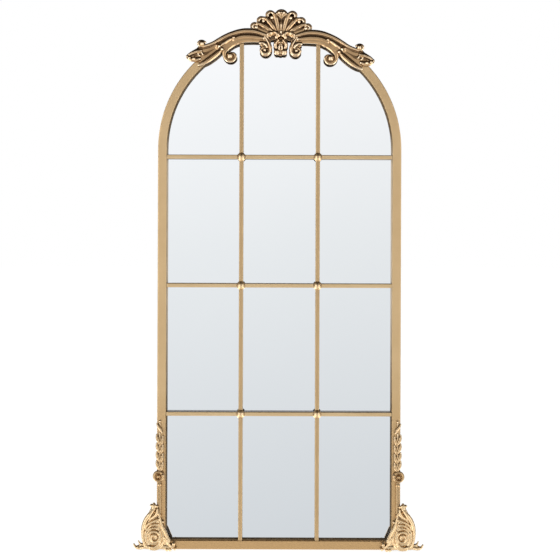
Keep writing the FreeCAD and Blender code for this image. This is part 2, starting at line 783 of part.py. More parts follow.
def shell_parts():
    """Outline, ridges and beads of the fan of seven ribs above the top of the arch."""
    height = size("shell_height")
    wide = size("shell_half_width")
    relief = size("shell_relief")
    lobe = size("shell_lobe")
    rib_turns = (35, 58, 82)
    root, crest_lobe = 0.6 * lobe, 1.3 * lobe
    crest = [(0, crown_height(up)) for up in (0.03 * height, height / 2, height - crest_lobe)]
    outline = [ribbon(crest, root, crest_lobe)]
    ridges = [ribbon(crest, root / 2, crest_lobe / 2)]
    beads = []
    for turn in rib_turns:
        tip_x = (wide - lobe) * math.sin(math.radians(turn))
        tip_up = 0.13 * height + (0.87 * height - lobe) * math.cos(math.radians(turn))
        belly_up = 0.05 * height + 0.5 * tip_up
        rib = [(0.1 * tip_x, 0.1 * height), (0.45 * tip_x, belly_up), (tip_x, tip_up)]
        rib = [(x, crown_height(up)) for x, up in rib]
        outline += both_sides([ribbon(rib, root, lobe)])
        ridges += both_sides([ribbon(rib, 0.4 * root, lobe / 2)])
        beads += both_sides([bead(rib[-1], 0.92 * lobe, relief)])
    return outline, ridges, beads, 0.7 * relief


def cartouche_parts():
    """Outline, ridges and beads of two curls, a pendant with two drops and a pair of volutes."""
    drop = size("pendant_drop")
    wide = size("cartouche_half_width")
    roll = size("cartouche_roll")
    relief = size("cartouche_relief")
    curl_radius, volute_radius, eye_radius = 1.7 * roll, 2.2 * roll, 0.6 * roll

    def local(points):
        return [(across * wide, crown_height(-down * drop)) for across, down in points]

    curl, volute, drop_bead = local([(0.40, 0.24), (0.68, 0.74), (0.16, 0.89)])
    pendant = local([(0, 0.23), (0, 0.5), (0, 0.84)])
    stem = local([(0.40, 0.34), (0.47, 0.45), (0.56, 0.62)])
    curl_line = spiral(curl, curl_radius - 0.4 * roll, 0.7 * roll, 200, -0.8)
    volute_line = spiral(volute, volute_radius - 0.4 * roll, 0.8 * roll, 120, 1.1)
    rounds = [round_face(*curl, curl_radius), round_face(*volute, volute_radius)]
    rounds += [round_face(*drop_bead, roll), ribbon(stem, 1.1 * roll, roll)]
    outline = [ribbon(pendant, 1.8 * roll, 1.4 * roll)] + both_sides(rounds)
    rolls = [ribbon(curl_line, 0.35 * roll, 0.3 * roll), ribbon(volute_line, 0.35 * roll, 0.25 * roll)]
    rolls.append(ribbon(stem, 0.4 * roll, 0.4 * roll))
    ridges = [ribbon(pendant, 0.8 * roll, 0.5 * roll)] + both_sides(rolls)
    eyes = [bead(volute, eye_radius, relief), bead(curl, eye_radius, relief)]
    beads = both_sides(eyes + [bead(drop_bead, 0.9 * roll, 1.5 * roll)])
    return outline, ridges, beads, 0.75 * relief


def swag_parts():
    """Outline, ridges and beads of the right-hand swag over the rail, with volute, curl and end leaves."""
    length = size("swag_length")
    rise = size("swag_rise")
    roll = size("swag_roll")
    relief = size("swag_relief")
    curl_radius, volute_radius, eye_radius = 1.4 * roll, 2.4 * roll, 0.5 * roll

    def local(points):
        return bent_line([(along * length, out * rise) for along, out in points])

    upper = [(0.12, -0.28), (0.25, 0.04), (0.36, 0.36), (0.48, 0.46), (0.60, 0.44), (0.71, 0.48), (0.8, 0.62)]
    lower = [(0.12, -0.48), (0.25, -0.46), (0.35, -0.38), (0.45, -0.24), (0.54, -0.24), (0.63, -0.40)]
    filling = [(0.14, -0.24), (0.28, -0.16), (0.43, 0.08), (0.59, 0.04), (0.75, 0.08), (0.89, 0.16)]
    low_edge = [(0.64, -0.16), (0.75, -0.24), (0.84, -0.24), (0.93, 0.04)]
    leaves = [
        [(0.86, 0.56), (0.92, 0.70), (0.975, 0.82)],
        [(0.86, 0.34), (0.93, 0.48), (1.00, 0.58)],
        [(0.86, 0.14), (0.91, 0.20), (0.96, 0.24)],
    ]
    upper, lower, filling, low_edge = [local(points) for points in (upper, lower, filling, low_edge)]
    leaves = [local(points) for points in leaves]
    curl, volute, knot = local([(0.80, 0.90), (0.62, -0.88), (0.66, 0.08)])
    volute_roll = lower + spiral(volute, volute_radius - 0.1 * roll, 0.9 * roll, 20, -1.2)
    outline = [ribbon(upper, roll, 0.9 * roll), ribbon(lower, 1.1 * roll, roll)]
    outline += [ribbon(filling, 1.4 * roll, 1.8 * roll), ribbon(low_edge, 0.8 * roll, 0.6 * roll)]
    outline += [round_face(*curl, curl_radius), round_face(*volute, volute_radius)]
    outline += [ribbon(leaf, 0.9 * roll, 0.25 * roll) for leaf in leaves]
    ridges = [ribbon(upper, 0.6 * roll, 0.5 * roll), ribbon(volute_roll, 0.6 * roll, 0.3 * roll)]
    ridges += [ribbon(low_edge, 0.4 * roll, 0.3 * roll)]
    ridges += [ribbon(leaf, 0.3 * roll, 0.15 * roll) for leaf in leaves]
    beads = [bead(curl, 0.8 * curl_radius, relief), bead(knot, 0.9 * roll, relief)]
    beads.append(bead(volute, eye_radius, relief))
    return outline, ridges, beads, 0.8 * relief


def make_crown():
    """Shell, cartouche and two swags; each is fitted round the outline of the one above it."""
    cartouche = cartouche_parts()
    shell = shell_parts()
    deep = 2 * (size("shell_relief") + size("cartouche_relief"))
    around_cartouche = raised(cartouche[0], deep)
    around_shell = raised(shell[0], deep)
    swag = cast(*swag_parts()).cut(around_cartouche + around_shell)
    swag_screws = [bent(size("swag_screw_near"), 0), bent(size("swag_screw_far"), 0)]
    right = drilled(max(swag.Solids, key=lambda solid: solid.Volume), swag_screws)
    shell_screw = bent(0, size("shell_screw_rise"))
    cartouche_screw = bent(0, -size("cartouche_screw_drop"))
    casting("crown_shell", on_crown(drilled(cast(*shell).cut(around_cartouche), [shell_screw])))
    casting("crown_cartouche", on_crown(drilled(cast(*cartouche), [cartouche_screw])))
    casting("crown_swag_right", on_crown(right))
    casting("crown_swag_left", on_crown(mirrored(right)))


def make_feet():
    """Scroll foot on each bottom corner, drawn out from the frame's outer edge and up from its bottom."""
    edge = size("frame_width") / 2
    bottom = -size("spring_height")
    height = size("foot_height")
    outreach = size("foot_outreach")
    inreach = size("foot_inreach")
    relief = size("foot_relief")
    roll = size("foot_roll")
    eye_radius = size("foot_eye")
    inset = size("garland_inset")
    sole = (roll - size("foot_drop")) / height
    shoulder = (size("foot_shoulder") - roll) / height
    line_x = -inset / inreach

    def local(points):
        return [(edge + out * (outreach if out > 0 else inreach), bottom + up * height) for out, up in points]

    eye, knee, toe, heel = local([(0.13, 0.23), (0.40, 0.41), (0.855, 0.08), (-0.88, 0.14)])
    toe_radius, knee_radius = 1.4 * roll, 2.75 * roll
    back = [(0.18, 0.967), (0.32, 0.84), (0.55, 0.62), (0.62, 0.40), (0.63, 0.17), (0.74, 0.07)]
    middle = [(0.04, 0.893), (0.17, 0.70), (0.34, 0.52), (0.42, 0.34)]
    inner = [(line_x, shoulder), (line_x - 0.06, shoulder - 0.09), (-0.36, 0.41), (-0.58, 0.2), (-0.82, 0.05)]
    instep = [(0.05, sole + 0.03), (-0.40, sole), (-0.67, sole), (-0.91, sole + 0.01)]
    back, middle, inner, instep = [local(points) for points in (back, middle, inner, instep)]
    outline = [ribbon(back, 0.6 * roll, roll), ribbon(middle, 0.6 * roll, 1.25 * roll)]
    outline += [ribbon(inner, roll, roll), ribbon(instep, roll, 0.75 * roll)]
    outline += [round_face(*eye, eye_radius), round_face(*toe, toe_radius)]
    outline += [round_face(*heel, roll), round_face(*knee, knee_radius)]
    ridges = [ribbon(band, 0.38 * roll, roll / 2) for band in (back, middle, inner)]
    ridges += [ribbon(instep, roll / 2, 0.38 * roll)]
    ridges += [ribbon(spiral(eye, 0.9 * eye_radius, 0.24 * eye_radius, 40, 1.9), roll / 2, 0.38 * roll)]
    beads = [bead(eye, 0.9 * roll, relief), bead(toe, 0.8 * toe_radius, 0.8 * relief)]
    beads.append(bead(heel, 0.9 * roll, 0.7 * relief))
    screws = local([(line_x, size("foot_screw_low") / height), (line_x, size("foot_screw_high") / height)])
    right = drilled(cast(outline, ridges, beads, 0.8 * relief), screws)
    casting("foot_scroll_right", right)
    casting("foot_scroll_left", mirrored(right))


def ring_side(sign):
    """Height above the frame's bottom edge at which the rod or the leaves stop below or above the ring."""
    return size("ring_height") + sign * (size("ring_radius") + size("ring_gap"))


def rod_shape(middle, bottom):
    """Fluted rod with a bead at each end."""
    radius = size("rod_radius")
    low = bottom + size("foot_shoulder") + size("rod_gap")
    high = bottom + ring_side(-1)
    flute = radius / 3
    end_bead = 1.15 * radius
    flute_angles = (-50, 0, 50)
    pieces = [Part.makeCylinder(radius - flute / 2, high - low, Vector(middle, 0, low))]
    pieces += [bead((middle, z), end_bead, end_bead) for z in (low + end_bead, high - end_bead)]
    for angle in flute_angles:
        x = middle + (radius - flute) * math.sin(math.radians(angle))
        y = -(radius - flute) * math.cos(math.radians(angle))
        pieces.append(Part.makeCylinder(flute, high - low, Vector(x, y, low)))
    return flat_backed(pieces)


def rosette_shape(middle, bottom):
    """Ring with a round hub."""
    radius = size("ring_radius")
    centre = (middle, bottom + size("ring_height"))
    thick = radius / 3.5
    ring = Part.makeTorus(radius - thick, thick, Vector(centre[0], -thick / 2, centre[1]), Y_AXIS)
    hub = bead(centre, 2 * thick, 3 * thick)
    return cast([round_face(*centre, radius - thick)], [round_face(*centre, thick)], [ring, hub], thick)


def leaf_shape(middle, bottom):
    """Stem with leaves to either side."""
    low = bottom + ring_side(1)
    high = low + size("leaf_length")
    spread = size("leaf_half_width")
    relief = size("leaf_relief")
    leaf_length = 2.2 * spread
    stem_width, tip_width, root_lift = 0.42 * spread, 0.25 * spread, 0.33 * spread
    stem = [(middle, low + stem_width), (middle, (low + high) / 2), (middle, high - stem_width)]
    outline = [ribbon(stem, stem_width, 0.8 * stem_width)]
    ridges = [ribbon(stem, stem_width / 2, 0.4 * stem_width)]
    count = int((high - low - leaf_length) / spread)
    pitch = (high - low - leaf_length) / count
    for index in range(count):
        sign = 1 if index % 2 else -1
        root = low + root_lift + pitch * index
        belly = (middle + 0.5 * spread * sign, root + 0.5 * leaf_length)
        tip = (middle + (spread - tip_width) * sign, root + leaf_length - root_lift)
        leaf = [(middle, root), belly, tip]
        outline.append(ribbon(leaf, stem_width, tip_width))
        ridges.append(ribbon(leaf, 0.4 * stem_width, 0.3 * stem_width))
    return cast(outline, ridges, [], relief)


def make_garlands():
    """Leaf drop, ring rosette and fluted rod on the outer half of each stile."""
    middle = size("frame_width") / 2 - size("garland_inset")
    bottom = -size("spring_height")
    margin = size("garland_screw_margin")
    rod_low, leaf_low = size("foot_shoulder") + size("rod_gap"), ring_side(1)
    rod = (rod_shape, [rod_low + margin, ring_side(-1) - margin])
    rosette = (rosette_shape, [size("ring_height")])
    leaves = (leaf_shape, [leaf_low + margin, leaf_low + size("leaf_length") - margin])
    for label, (shape, heights) in (("fluted_rod", rod), ("ring_rosette", rosette), ("leaf_drop", leaves)):
        right = drilled(shape(middle, bottom), [(middle, bottom + height) for height in heights])
        casting(f"{label}_right", right)
        casting(f"{label}_left", mirrored(right))


make_stiles()
make_bottom_rail()
make_arch_rail()
make_vertical_bars()
make_horizontal_bars()
make_crossing_rosettes()
make_glazing()
make_turn_buttons()
make_hangers()
make_bumpers()
make_casting_screws()
make_crown()
make_feet()
make_garlands()
doc.recompute()

NODES = ["left_stile", "right_stile", "arch_rail", "bottom_rail", "vertical_bar_left", "vertical_bar_right"]
NODES += [f"{row}_bar_{column}" for row in BAR_ROWS for column in ("left", "centre", "right")]
NODES += ["crossing_rosettes", "mirror_glass", "backing_board", "glazing_strips"]
NODES += [f"turn_button_{name}" for name in BUTTON_PLACES]
NODES += ["turn_button_screws", "hanger_screws", "crown_screws", "foot_screws", "garland_screws"]
NODES += ["crown_shell", "crown_cartouche"]
PAIRS = ["crown_swag", "foot_scroll", "fluted_rod", "ring_rosette", "leaf_drop"]
PAIRS += ["keyhole_hanger", "wall_bumper"]
for piece in PAIRS:
    NODES += [f"{piece}_{side}" for side in SIDES]

failed = [item.Label for item in doc.Objects if {"Invalid", "Error"} & set(item.State)]
if failed:
    raise RuntimeError("failed objects: " + ", ".join(failed))

os.makedirs("parts", exist_ok=True)
for label in NODES:
    shape = doc.getObjectsByLabel(label)[0].Shape
    if shape.isNull() or not shape.isValid():
        raise RuntimeError("bad shape: " + label)
for label in NODES:
    doc.getObjectsByLabel(label)[0].Shape.exportStep(f"parts/{label}.step")
print(len(NODES), "pieces")
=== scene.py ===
import json
import math

import bpy
import numpy as np
from mathutils import Matrix, Vector


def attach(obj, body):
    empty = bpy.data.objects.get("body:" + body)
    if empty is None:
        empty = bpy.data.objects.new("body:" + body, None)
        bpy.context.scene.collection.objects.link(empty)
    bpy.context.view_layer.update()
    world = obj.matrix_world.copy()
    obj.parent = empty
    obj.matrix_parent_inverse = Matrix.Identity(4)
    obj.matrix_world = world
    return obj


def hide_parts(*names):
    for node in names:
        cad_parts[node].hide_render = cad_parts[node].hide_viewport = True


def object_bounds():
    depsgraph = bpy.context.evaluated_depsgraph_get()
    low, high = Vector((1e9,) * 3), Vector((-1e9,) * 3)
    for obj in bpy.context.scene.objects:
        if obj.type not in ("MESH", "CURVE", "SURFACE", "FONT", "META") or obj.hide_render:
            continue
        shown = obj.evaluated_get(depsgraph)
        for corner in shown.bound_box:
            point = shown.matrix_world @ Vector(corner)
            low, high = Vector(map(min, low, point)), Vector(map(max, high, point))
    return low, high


# Looks of the arched wall mirror: its carved castings, finishes, studio and camera.
# Sizes of the castings are in millimetres, and levels and places in the finishes and the studio in metres.

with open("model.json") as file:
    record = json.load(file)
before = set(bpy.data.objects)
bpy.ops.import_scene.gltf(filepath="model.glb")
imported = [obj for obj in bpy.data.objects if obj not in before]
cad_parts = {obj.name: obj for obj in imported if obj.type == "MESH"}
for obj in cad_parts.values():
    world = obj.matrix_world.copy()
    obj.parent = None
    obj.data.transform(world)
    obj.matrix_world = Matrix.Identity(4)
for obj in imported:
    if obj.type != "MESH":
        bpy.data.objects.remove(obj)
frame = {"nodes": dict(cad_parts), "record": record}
cad_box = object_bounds()

MM = 0.001
X, Y, Z = range(3)


def span(name, axis):
    """Low and high end of a solid along an axis, in millimetres."""
    ends = [corner[axis] / MM for corner in frame["nodes"][name].bound_box]
    return min(ends), max(ends)


# Places on the frame, from its tubes
INNER_EDGE, HALF_WIDTH = span("right_stile", X)
RAIL_MIDDLE = (INNER_EDGE + HALF_WIDTH) / 2
FRONT = span("right_stile", Y)[0]
BOTTOM = span("bottom_rail", Z)[0]

# The crown sits a little right of the middle and above the rail's middle line, and leans to the right
CROWN_OFFSET = 3
CROWN_RISE = 1.5
CROWN_LEAN = math.radians(1.2)

# A casting is made of bars and balls. A lift is how far the middle of one lies in front of the tubes.
# A bar's row has points of (x, z, radius) or (x, z, radius, own lift), then the lift of the other points,
# and the share of its depth that the bar keeps.
# A ball is (x, z, radius, lift), and the share of its depth where it is flattened.

# Crown tables hold the right half and what lies in the middle.
# Their z is measured from the top of the rail's middle line.

FAN_ENDS = [(-15, 55, 4), (-8, 59, 5.4), (0, 60, 3.6), (8, 59, 5.4), (15, 55, 4)]
FAN_THROAT = {"spread": 0.15, "height": 43, "radius": 2, "lift": 7}
FAN_MIDDLE = {"reach": 0.6, "thickness": 0.65, "lift": 10}
FAN_RIM_LIFT = 11
SHELL_RIGHT = [
    # half of the flutes under the fan
    ([(7.5, 41, 3), (7, 20, 4), (4.5, -5, 2.5)], 5, 1),
    # first petal: its ridge, the hood that the ridge curls into, and its body
    ([(7, -6, 4, 4), (12.5, 20, 8, 6), (18, 40, 9, 8), (23.5, 53, 7, 10), (28, 59, 4.5, 12)], 0, 0.8),
    ([(26, 59, 4.4), (33.5, 64, 4.4), (42, 63, 4.4), (48.5, 56, 4.4), (48.5, 47, 4)], 3, 1),
    ([(28, 56, 4, 12), (34.5, 59, 3.4), (40.5, 57.5, 3.4), (44, 52.5, 3.2), (44, 47, 2.8)], 11, 1),
    ([(13, 0, 5), (22, 22, 8), (33, 44, 10)], 4.5, 0.5),
    # second petal
    ([(14, -6, 4, 4), (28, 15, 7.5, 6), (41.5, 30.5, 8.5, 8), (51, 39, 6.5, 10), (58, 41, 4.5, 12)], 0, 0.8),
    ([(56, 40, 4.4), (63, 44, 4.4), (72, 42.5, 4.4), (77.5, 35.5, 4.2), (76, 27, 4)], 3, 1),
    ([(58, 37.5, 4, 12), (64, 39, 3.4), (70, 37, 3.4), (73, 32.5, 3.2), (72, 27.5, 2.8)], 11, 1),
    ([(22, -4, 5), (42, 13, 8), (61, 26, 9)], 3, 0.5),
    # third petal, with a small leaf in its hood
    ([(23, -7, 4, 4), (40, 5.5, 8, 6), (56.5, 15, 9, 8), (68.5, 20.5, 7.5, 10), (79, 22.5, 5, 12)], 0, 0.8),
    ([(78, 20, 4.4), (85.5, 24, 4.4), (94, 22, 4.4), (98.5, 15, 4.2), (97, 7, 4)], 3, 1),
    ([(80, 17, 4, 12), (86, 19, 3.4), (91.5, 16.5, 3.4), (94, 12, 3.2), (92.5, 7.5, 2.8)], 11, 1),
    ([(84, 5, 4), (95, 6.5, 3.4)], 8, 1),
    ([(34, -9, 5), (58, 0, 8.5), (78, 7.5, 9)], 5.5, 0.5),
    # ground behind the petals
    ([(0, -4, 10), (0, 30, 11), (0, 54, 13)], 1.5, 0.35),
    ([(4, -2, 9), (20, 30, 12), (35, 52, 13)], 1.5, 0.35),
    ([(8, -4, 9), (38, 20, 12), (65, 33, 12)], 1.5, 0.35),
    ([(12, -8, 9), (50, 3, 12), (86, 13, 11)], 1.5, 0.35),
]
SHELL_BALLS = [(31, 43, 6.5, 9), (59, 31, 5.8, 9), (81.5, 9.5, 7.2, 9), (44, 42, 9, 1, 0.4)]
SHELL_MIDDLE = [
    # middle flute, rim of the fan and its ground
    ([(0, 40, 3.5, 4), (0, 20, 4.5, 6), (0, -5, 3, 5)], 5, 1),
    ([(-18, 58, 4), (-10, 66, 4.4), (0, 68.5, 4.6), (10, 66, 4.4), (18, 58, 4)], 2.5, 1),
    ([(0, 42, 14), (0, 56, 17)], 2, 0.3),
]

CARTOUCHE_RIGHT = [
    # brow of two lobes, outer and inner, and the ridge under them
    ([(44.5, -22, 5), (42, -14, 7.4), (34.5, -9, 8.4), (26.5, -7, 6)], 10, 1),
    ([(23, -5.5, 5.6), (15.5, -8.5, 8), (11.5, -15, 8), (15, -22, 6)], 11, 1),
    ([(37, -18, 4.6), (30, -13, 5.6), (22, -12, 5)], 8, 1),
    # side of the pendant, and the small ridge beside its middle
    ([(9, -31, 5), (16, -40, 7), (17.5, -48, 7.2), (14, -57, 5)], 7, 1),
    ([(3.2, -45, 2.8), (4.4, -53, 3.6), (5, -61, 3)], 11, 1),
    # lower volute, and the leaf over it
    ([(52, -21, 4), (43.5, -35, 5.6), (36.5, -48, 6.4), (34.5, -61, 7), (38.5, -72, 7), (49, -77, 7),
      (60, -73, 6.5), (64, -64, 5.5), (58, -57, 4.5), (51, -59.5, 3.5)], 10, 1),
    ([(67, -42, 4.6), (58.5, -42, 5), (50, -47, 5), (45, -55, 3.6)], 11, 1),
    # ground behind brow, pendant and volute
    ([(0, -10, 13), (0, -45, 15), (0, -68, 14)], 1, 0.3),
    ([(14, -17, 13), (30, -18, 13)], 1, 0.16),
    ([(49, -65, 17), (50, -68, 17)], 1, 0.25),
    ([(42, -28, 9), (40, -48, 9)], 1, 0.3),
    ([(61, -44, 8), (46, -52, 9)], 2, 0.4),
]
CARTOUCHE_BALLS = [(5.5, -17, 4.6, 12), (12, -69.5, 10.4, 6), (52, -64.5, 6, 9)]
PENDANT_MIDDLE = [
    # knot between the brows, shield and drop
    ([(0, -2, 4), (0, -7, 4)], 9, 1),
    ([(0, -28, 8), (0, -39, 11)], 5, 0.7),
    ([(0, -62, 6), (0, -70, 6)], 6, 1),
]

SWAG_RIGHT = [
    # upper roll, which ends in the upper curl
    ([(44, -17, 5), (60, -11.5, 7.6), (83, -5, 8.8), (109, -3, 9.2), (135, -6, 9), (159, -13, 8.2),
      (183, -23, 7.4), (205, -35.5, 6.6), (225, -47, 5.8), (244, -54, 5.3), (260, -57, 5), (270.5, -52, 5),
      (269, -43.5, 4.8), (259, -40, 4.6), (249, -44, 4.2)], 9, 1),
    # lower band, which ends in the hanging volute
    ([(54, -29, 9), (75, -27, 13), (101, -25.5, 15), (127, -27.5, 15.5), (149, -36, 15), (166, -49, 12),
      (179, -64.5, 9), (185, -79, 7.3), (181.5, -92.5, 6.9), (169, -101, 6.6), (155.5, -98.5, 6.2),
      (148.5, -88, 5.6), (152.5, -78.5, 4.5), (163.5, -75.5, 3.4)], 5, 0.5),
    # forward upper edge of that band
    ([(58, -26, 6), (80, -22.5, 8.5), (109, -21, 9), (135, -24, 9), (154, -32, 8)], 9, 0.75),
    # leaf between the two
    ([(153, -27, 4), (168, -33, 5.6), (183, -43, 5.4), (197, -53, 4.4), (204, -60, 3.4)], 10, 1),
    # lower edge of the tail
    ([(192, -64, 5), (203, -75, 8), (219, -88.5, 8.6), (236, -101.5, 8.2), (254, -112.5, 6.6),
      (269, -119, 4.4)], 8, 0.8),
    # end leaves: upper edge, upper leaf, small eye and lower lobes
    ([(273, -66, 4), (285, -74, 5), (297, -82.5, 5.5), (307, -91, 5)], 5, 1),
    ([(301, -86.5, 4.5), (289, -80, 6.5), (276, -75, 7), (263, -73, 5.5)], 9, 1),
    ([(256, -84, 2.6), (260, -78.5, 3.2), (267, -78, 3.2), (271, -83, 3), (267, -88, 2.6)], 10, 1),
    ([(306, -92.5, 6), (300, -98.5, 7), (284, -102.5, 7.5), (266, -99, 5.5)], 8, 1),
    # fill under the roll
    ([(150, -24, 7), (172, -31, 7), (192, -43, 7), (210, -54, 6)], 8, 0.6),
    # ground
    ([(51, -25, 12), (79, -21, 18), (109, -19, 21), (140, -25, 20), (166, -37, 17), (190, -50, 15),
      (205, -56, 14)], 5.5, 0.35),
    ([(215, -54, 13), (240, -66, 13), (266, -70, 13)], 4, 0.35),
    ([(205, -57, 13), (229, -75, 16), (249, -89, 18), (275, -92, 19), (292, -90, 12)], 3, 0.35),
    ([(163, -91, 17), (168, -91, 17)], 2, 0.3),
]
SWAG_BALLS = [
    # eyes of the upper curl and of the volute
    (259, -48.5, 9.4, 9), (166, -86, 10, 10),
    # beads on the lower lobes, and at the ends of the leaf and the tail
    (300, -97, 6.5, 10), (285, -100, 6.5, 11),
    (155, -27, 5.6, 11), (202, -56, 5.6, 11), (192.5, -65, 5.6, 10),
]

# Foot tables run outwards from the frame's outer edge and up from its bottom edge.

FOOT_RIGHT = [
    # bud, and the outer leaf that runs from it down the outer edge
    ([(10, 126, 6.5), (9.5, 136, 9.5), (8, 144, 9)], 5, 0.7),
    ([(11, 131, 5), (22, 117, 8), (33, 102, 8), (41, 84, 6.8), (44.5, 66, 5.6), (44.5, 48, 5),
      (41.5, 30, 4.8), (36, 16, 4.6)], 9, 0.9),
    # second leaf
    ([(-4, 135, 4.2), (-1.5, 121, 6.2), (8, 110, 6), (20, 102.5, 3.6)], 10, 1),
    # nested arcs over the scroll
    ([(-8, 102, 4.4), (5.5, 97, 4.8), (22, 89, 4.6), (32, 80, 4), (37, 71, 2.8)], 10, 1),
    ([(-5, 86, 3.4), (4, 85.5, 4), (15, 82, 4), (24, 75.5, 3.6), (31, 67, 2.4)], 10, 1),
    ([(-2, 74.5, 3.2), (8, 74, 3.6), (16.5, 71, 3.6), (24, 65.5, 3), (29, 58, 2.2)], 10, 1),
    # boss over the upper screw
    ([(-8, 97, 5), (-9, 80, 6.4)], 3.5, 0.75),
    # side between scroll and outer edge
    ([(34, 62, 6), (35, 45, 8), (32, 28, 8), (27, 16, 6)], 3, 0.8),
    # rims under the scroll
    ([(20, 11, 4), (6, 10, 5), (-7, 18, 5.2), (-14, 33, 5), (-15, 50, 4.2), (-12, 64, 3)], 9, 1),
    ([(20, 3, 3.6), (4, 2.5, 4.6), (-12, 10, 5), (-22, 26, 4.4), (-27, 42, 3)], 6, 1),
    # inner edge, down to the rail
    ([(-8, 122, 3), (-13, 100, 4), (-20, 75, 5), (-29, 60, 5.6), (-36, 44, 5.6), (-43, 30, 5)], 8, 1),
    # base leaves
    ([(-30, 42, 3.4), (-36, 32, 5), (-41, 22, 5), (-47, 15, 3.6)], 10, 1),
    ([(34, 10, 5), (47, 8.5, 6.4), (58, 7, 5.8), (67, 9.5, 5), (74, 19, 3)], 6, 1),
    ([(44, 17, 5), (54, 21, 4), (59, 30, 2.2)], 5, 1),
    ([(-10, 10, 8), (-28, 9, 9), (-45, 9, 8), (-56, 12, 6)], 3, 0.7),
    # ground
    ([(8, 138, 10), (13, 118, 15), (17, 95, 20), (18, 74, 23)], 3, 0.2),
    ([(20, 48, 28), (14, 30, 29)], 1.5, 0.16),
    ([(-6, 96, 9), (-12, 66, 16), (-24, 38, 18), (-36, 22, 12)], 3.5, 0.27),
    ([(14, 9, 8), (34, 10, 8), (48, 12, 8), (60, 10, 6)], 4, 0.75),
]
FOOT_BALLS = [
    # on the bud and the inner edge
    (8.5, 151, 5, 4), (17, 146.5, 5.2, 4), (-2.5, 144, 5, 6), (-21, 93, 4.6, 4),
    # on the outer base leaf, and on the inner one
    (47.5, 9.5, 6.2, 8), (64, 9.5, 5.6, 8),
    (-57, 21.5, 6.6, 9), (-61, 5, 5.6, 8), (-45, 2, 6, 7), (-35, 2, 6, 7),
    # eye of the scroll
    (6.5, 43, 4.6, 6),
]
FOOT_SPIRAL = {
    "eye": (5.5, 42), "turns": 1.5, "steps_in_turn": 12, "start": 35, "inner": 4, "growth": 12,
    "stroke": 4, "swell": 0.9, "lift": 9,
}

# Garland tables have z above the frame's bottom edge, and x from the middle line of the garland.

GARLAND_INSET = 10
GARLAND_STEM = [
    # stem, leaf across its top and stalk of that leaf
    ([(0, 265, 4), (0, 384, 3)], 4, 1),
    ([(9.5, 417, 2.6), (5, 408, 4.8), (-2, 398, 5), (-7, 387, 2.8)], 6, 0.9),
    ([(0, 384, 3), (0, 404, 4), (0, 418, 3)], 3, 0.8),
]
GARLAND_BALLS = [(0, 424, 4, 4)]
LEAF_ROOTS = [262, 290, 319, 348]
LEAF_CURVE = [(1, 0, 3), (5, 9, 5.6), (8.5, 20, 5.4), (10, 30, 2.6)]
LEAF = {"lift": 6, "depth": 0.8, "higher": 3, "forward": 1}

RING = {"inset": 6.5, "height": 243, "radius": 15, "thickness": 4.6, "lift": 5, "steps": 6}
RING_GROUND = ([(-3, 0, 11), (3, 0, 11)], 1, 0.25)
RING_BALLS = [(0, 0, 6.8, 5), (-14, 4, 5, 7)]

# How fine bars and balls are, and how they melt together into one casting
BAR_ROUNDING = 3
BAR_STEPS = 8
BALL_SEGMENTS = 20
BALL_RINGS = 12
VOXEL = 1.0
FINE_VOXEL = 0.8
MELTED_BACK = 1.5
SMOOTH_SHARE = 0.5
SMOOTH_ROUNDS = 9

# How dark a casting's creases, sunk ground and upward faces are: patina and painted shade in creases and
# sunk ground, and painted shade on upward faces
CREASE_SPREAD = 6
SUNK_SHADE = 0.09
SUNK_FADE = 4
TOP_SHADE = 0.12
TOP_SLOPE = 0.2
TOP_FADE = 0.4

# Added to the length of each edge, so that none is zero
SHORTEST_EDGE = 1e-9


def select_only(*pieces):
    """Select these pieces alone, with the first one active."""
    bpy.ops.object.select_all(action="DESELECT")
    for piece in pieces:
        piece.select_set(True)
    bpy.context.view_layer.objects.active = pieces[0]


def bar_through(points, lift, depth):
    """A round bar through the points, flattened to that share of its depth, with a ball on each end."""
    bpy.ops.curve.primitive_bezier_curve_add()
    curve = bpy.context.object
    shape = curve.data
    shape.bevel_depth = MM
    shape.bevel_resolution = BAR_ROUNDING
    shape.resolution_u = BAR_STEPS
    shape.use_fill_caps = True
    knots = shape.splines[0].bezier_points
    knots.add(len(points) - len(knots))
    spots = [point if len(point) == 4 else (*point, lift) for point in points]
    for knot, (x, z, radius, own_lift) in zip(knots, spots):
        knot.co = (x * MM, -own_lift / depth * MM, z * MM)
        knot.handle_left_type = knot.handle_right_type = "AUTO"
        knot.radius = radius
    curve.scale.y = depth
    bpy.ops.object.convert(target="MESH")
    return [curve, ball(*spots[0], depth), ball(*spots[-1], depth)]


def ball(x, z, radius, lift, depth=1):
    """A round bead with its middle at that lift, flattened to that share of its depth."""
    place = (x * MM, -lift * MM, z * MM)
    bpy.ops.mesh.primitive_uv_sphere_add(
        segments=BALL_SEGMENTS, ring_count=BALL_RINGS, radius=radius * MM, location=place,
    )
    bpy.context.object.scale.y = depth
    return bpy.context.object


def apply_modifier(piece, kind, **settings):
    """Add one modifier with its settings and apply it."""
    select_only(piece)
    modifier = piece.modifiers.new(kind.lower(), kind)
    for name, value in settings.items():
        setattr(modifier, name, value)
    bpy.ops.object.modifier_apply(modifier=modifier.name)


def joined(name, parts):
    """Several meshes as one object at the origin."""
    select_only(*parts)
    bpy.ops.object.join()
    piece = bpy.context.object
    piece.name = name
    piece.data.name = name
    bpy.ops.object.transform_apply(location=True, rotation=True, scale=True)
    return piece


def mesh_rows(items, value, width, kind=np.float32):
    """One value of all points or edges of a mesh, as rows of that width."""
    numbers = np.empty(len(items) * width, kind)
    items.foreach_get(value, numbers)
    return numbers.reshape(-1, width)


def flatten_back(piece, level):
    """Press whatever lies behind the level flat against it."""
    places = mesh_rows(piece.data.vertices, "co", 3)
    places[:, Y] = np.minimum(places[:, Y], level * MM)
    piece.data.vertices.foreach_set("co", places.ravel())
    piece.data.update()


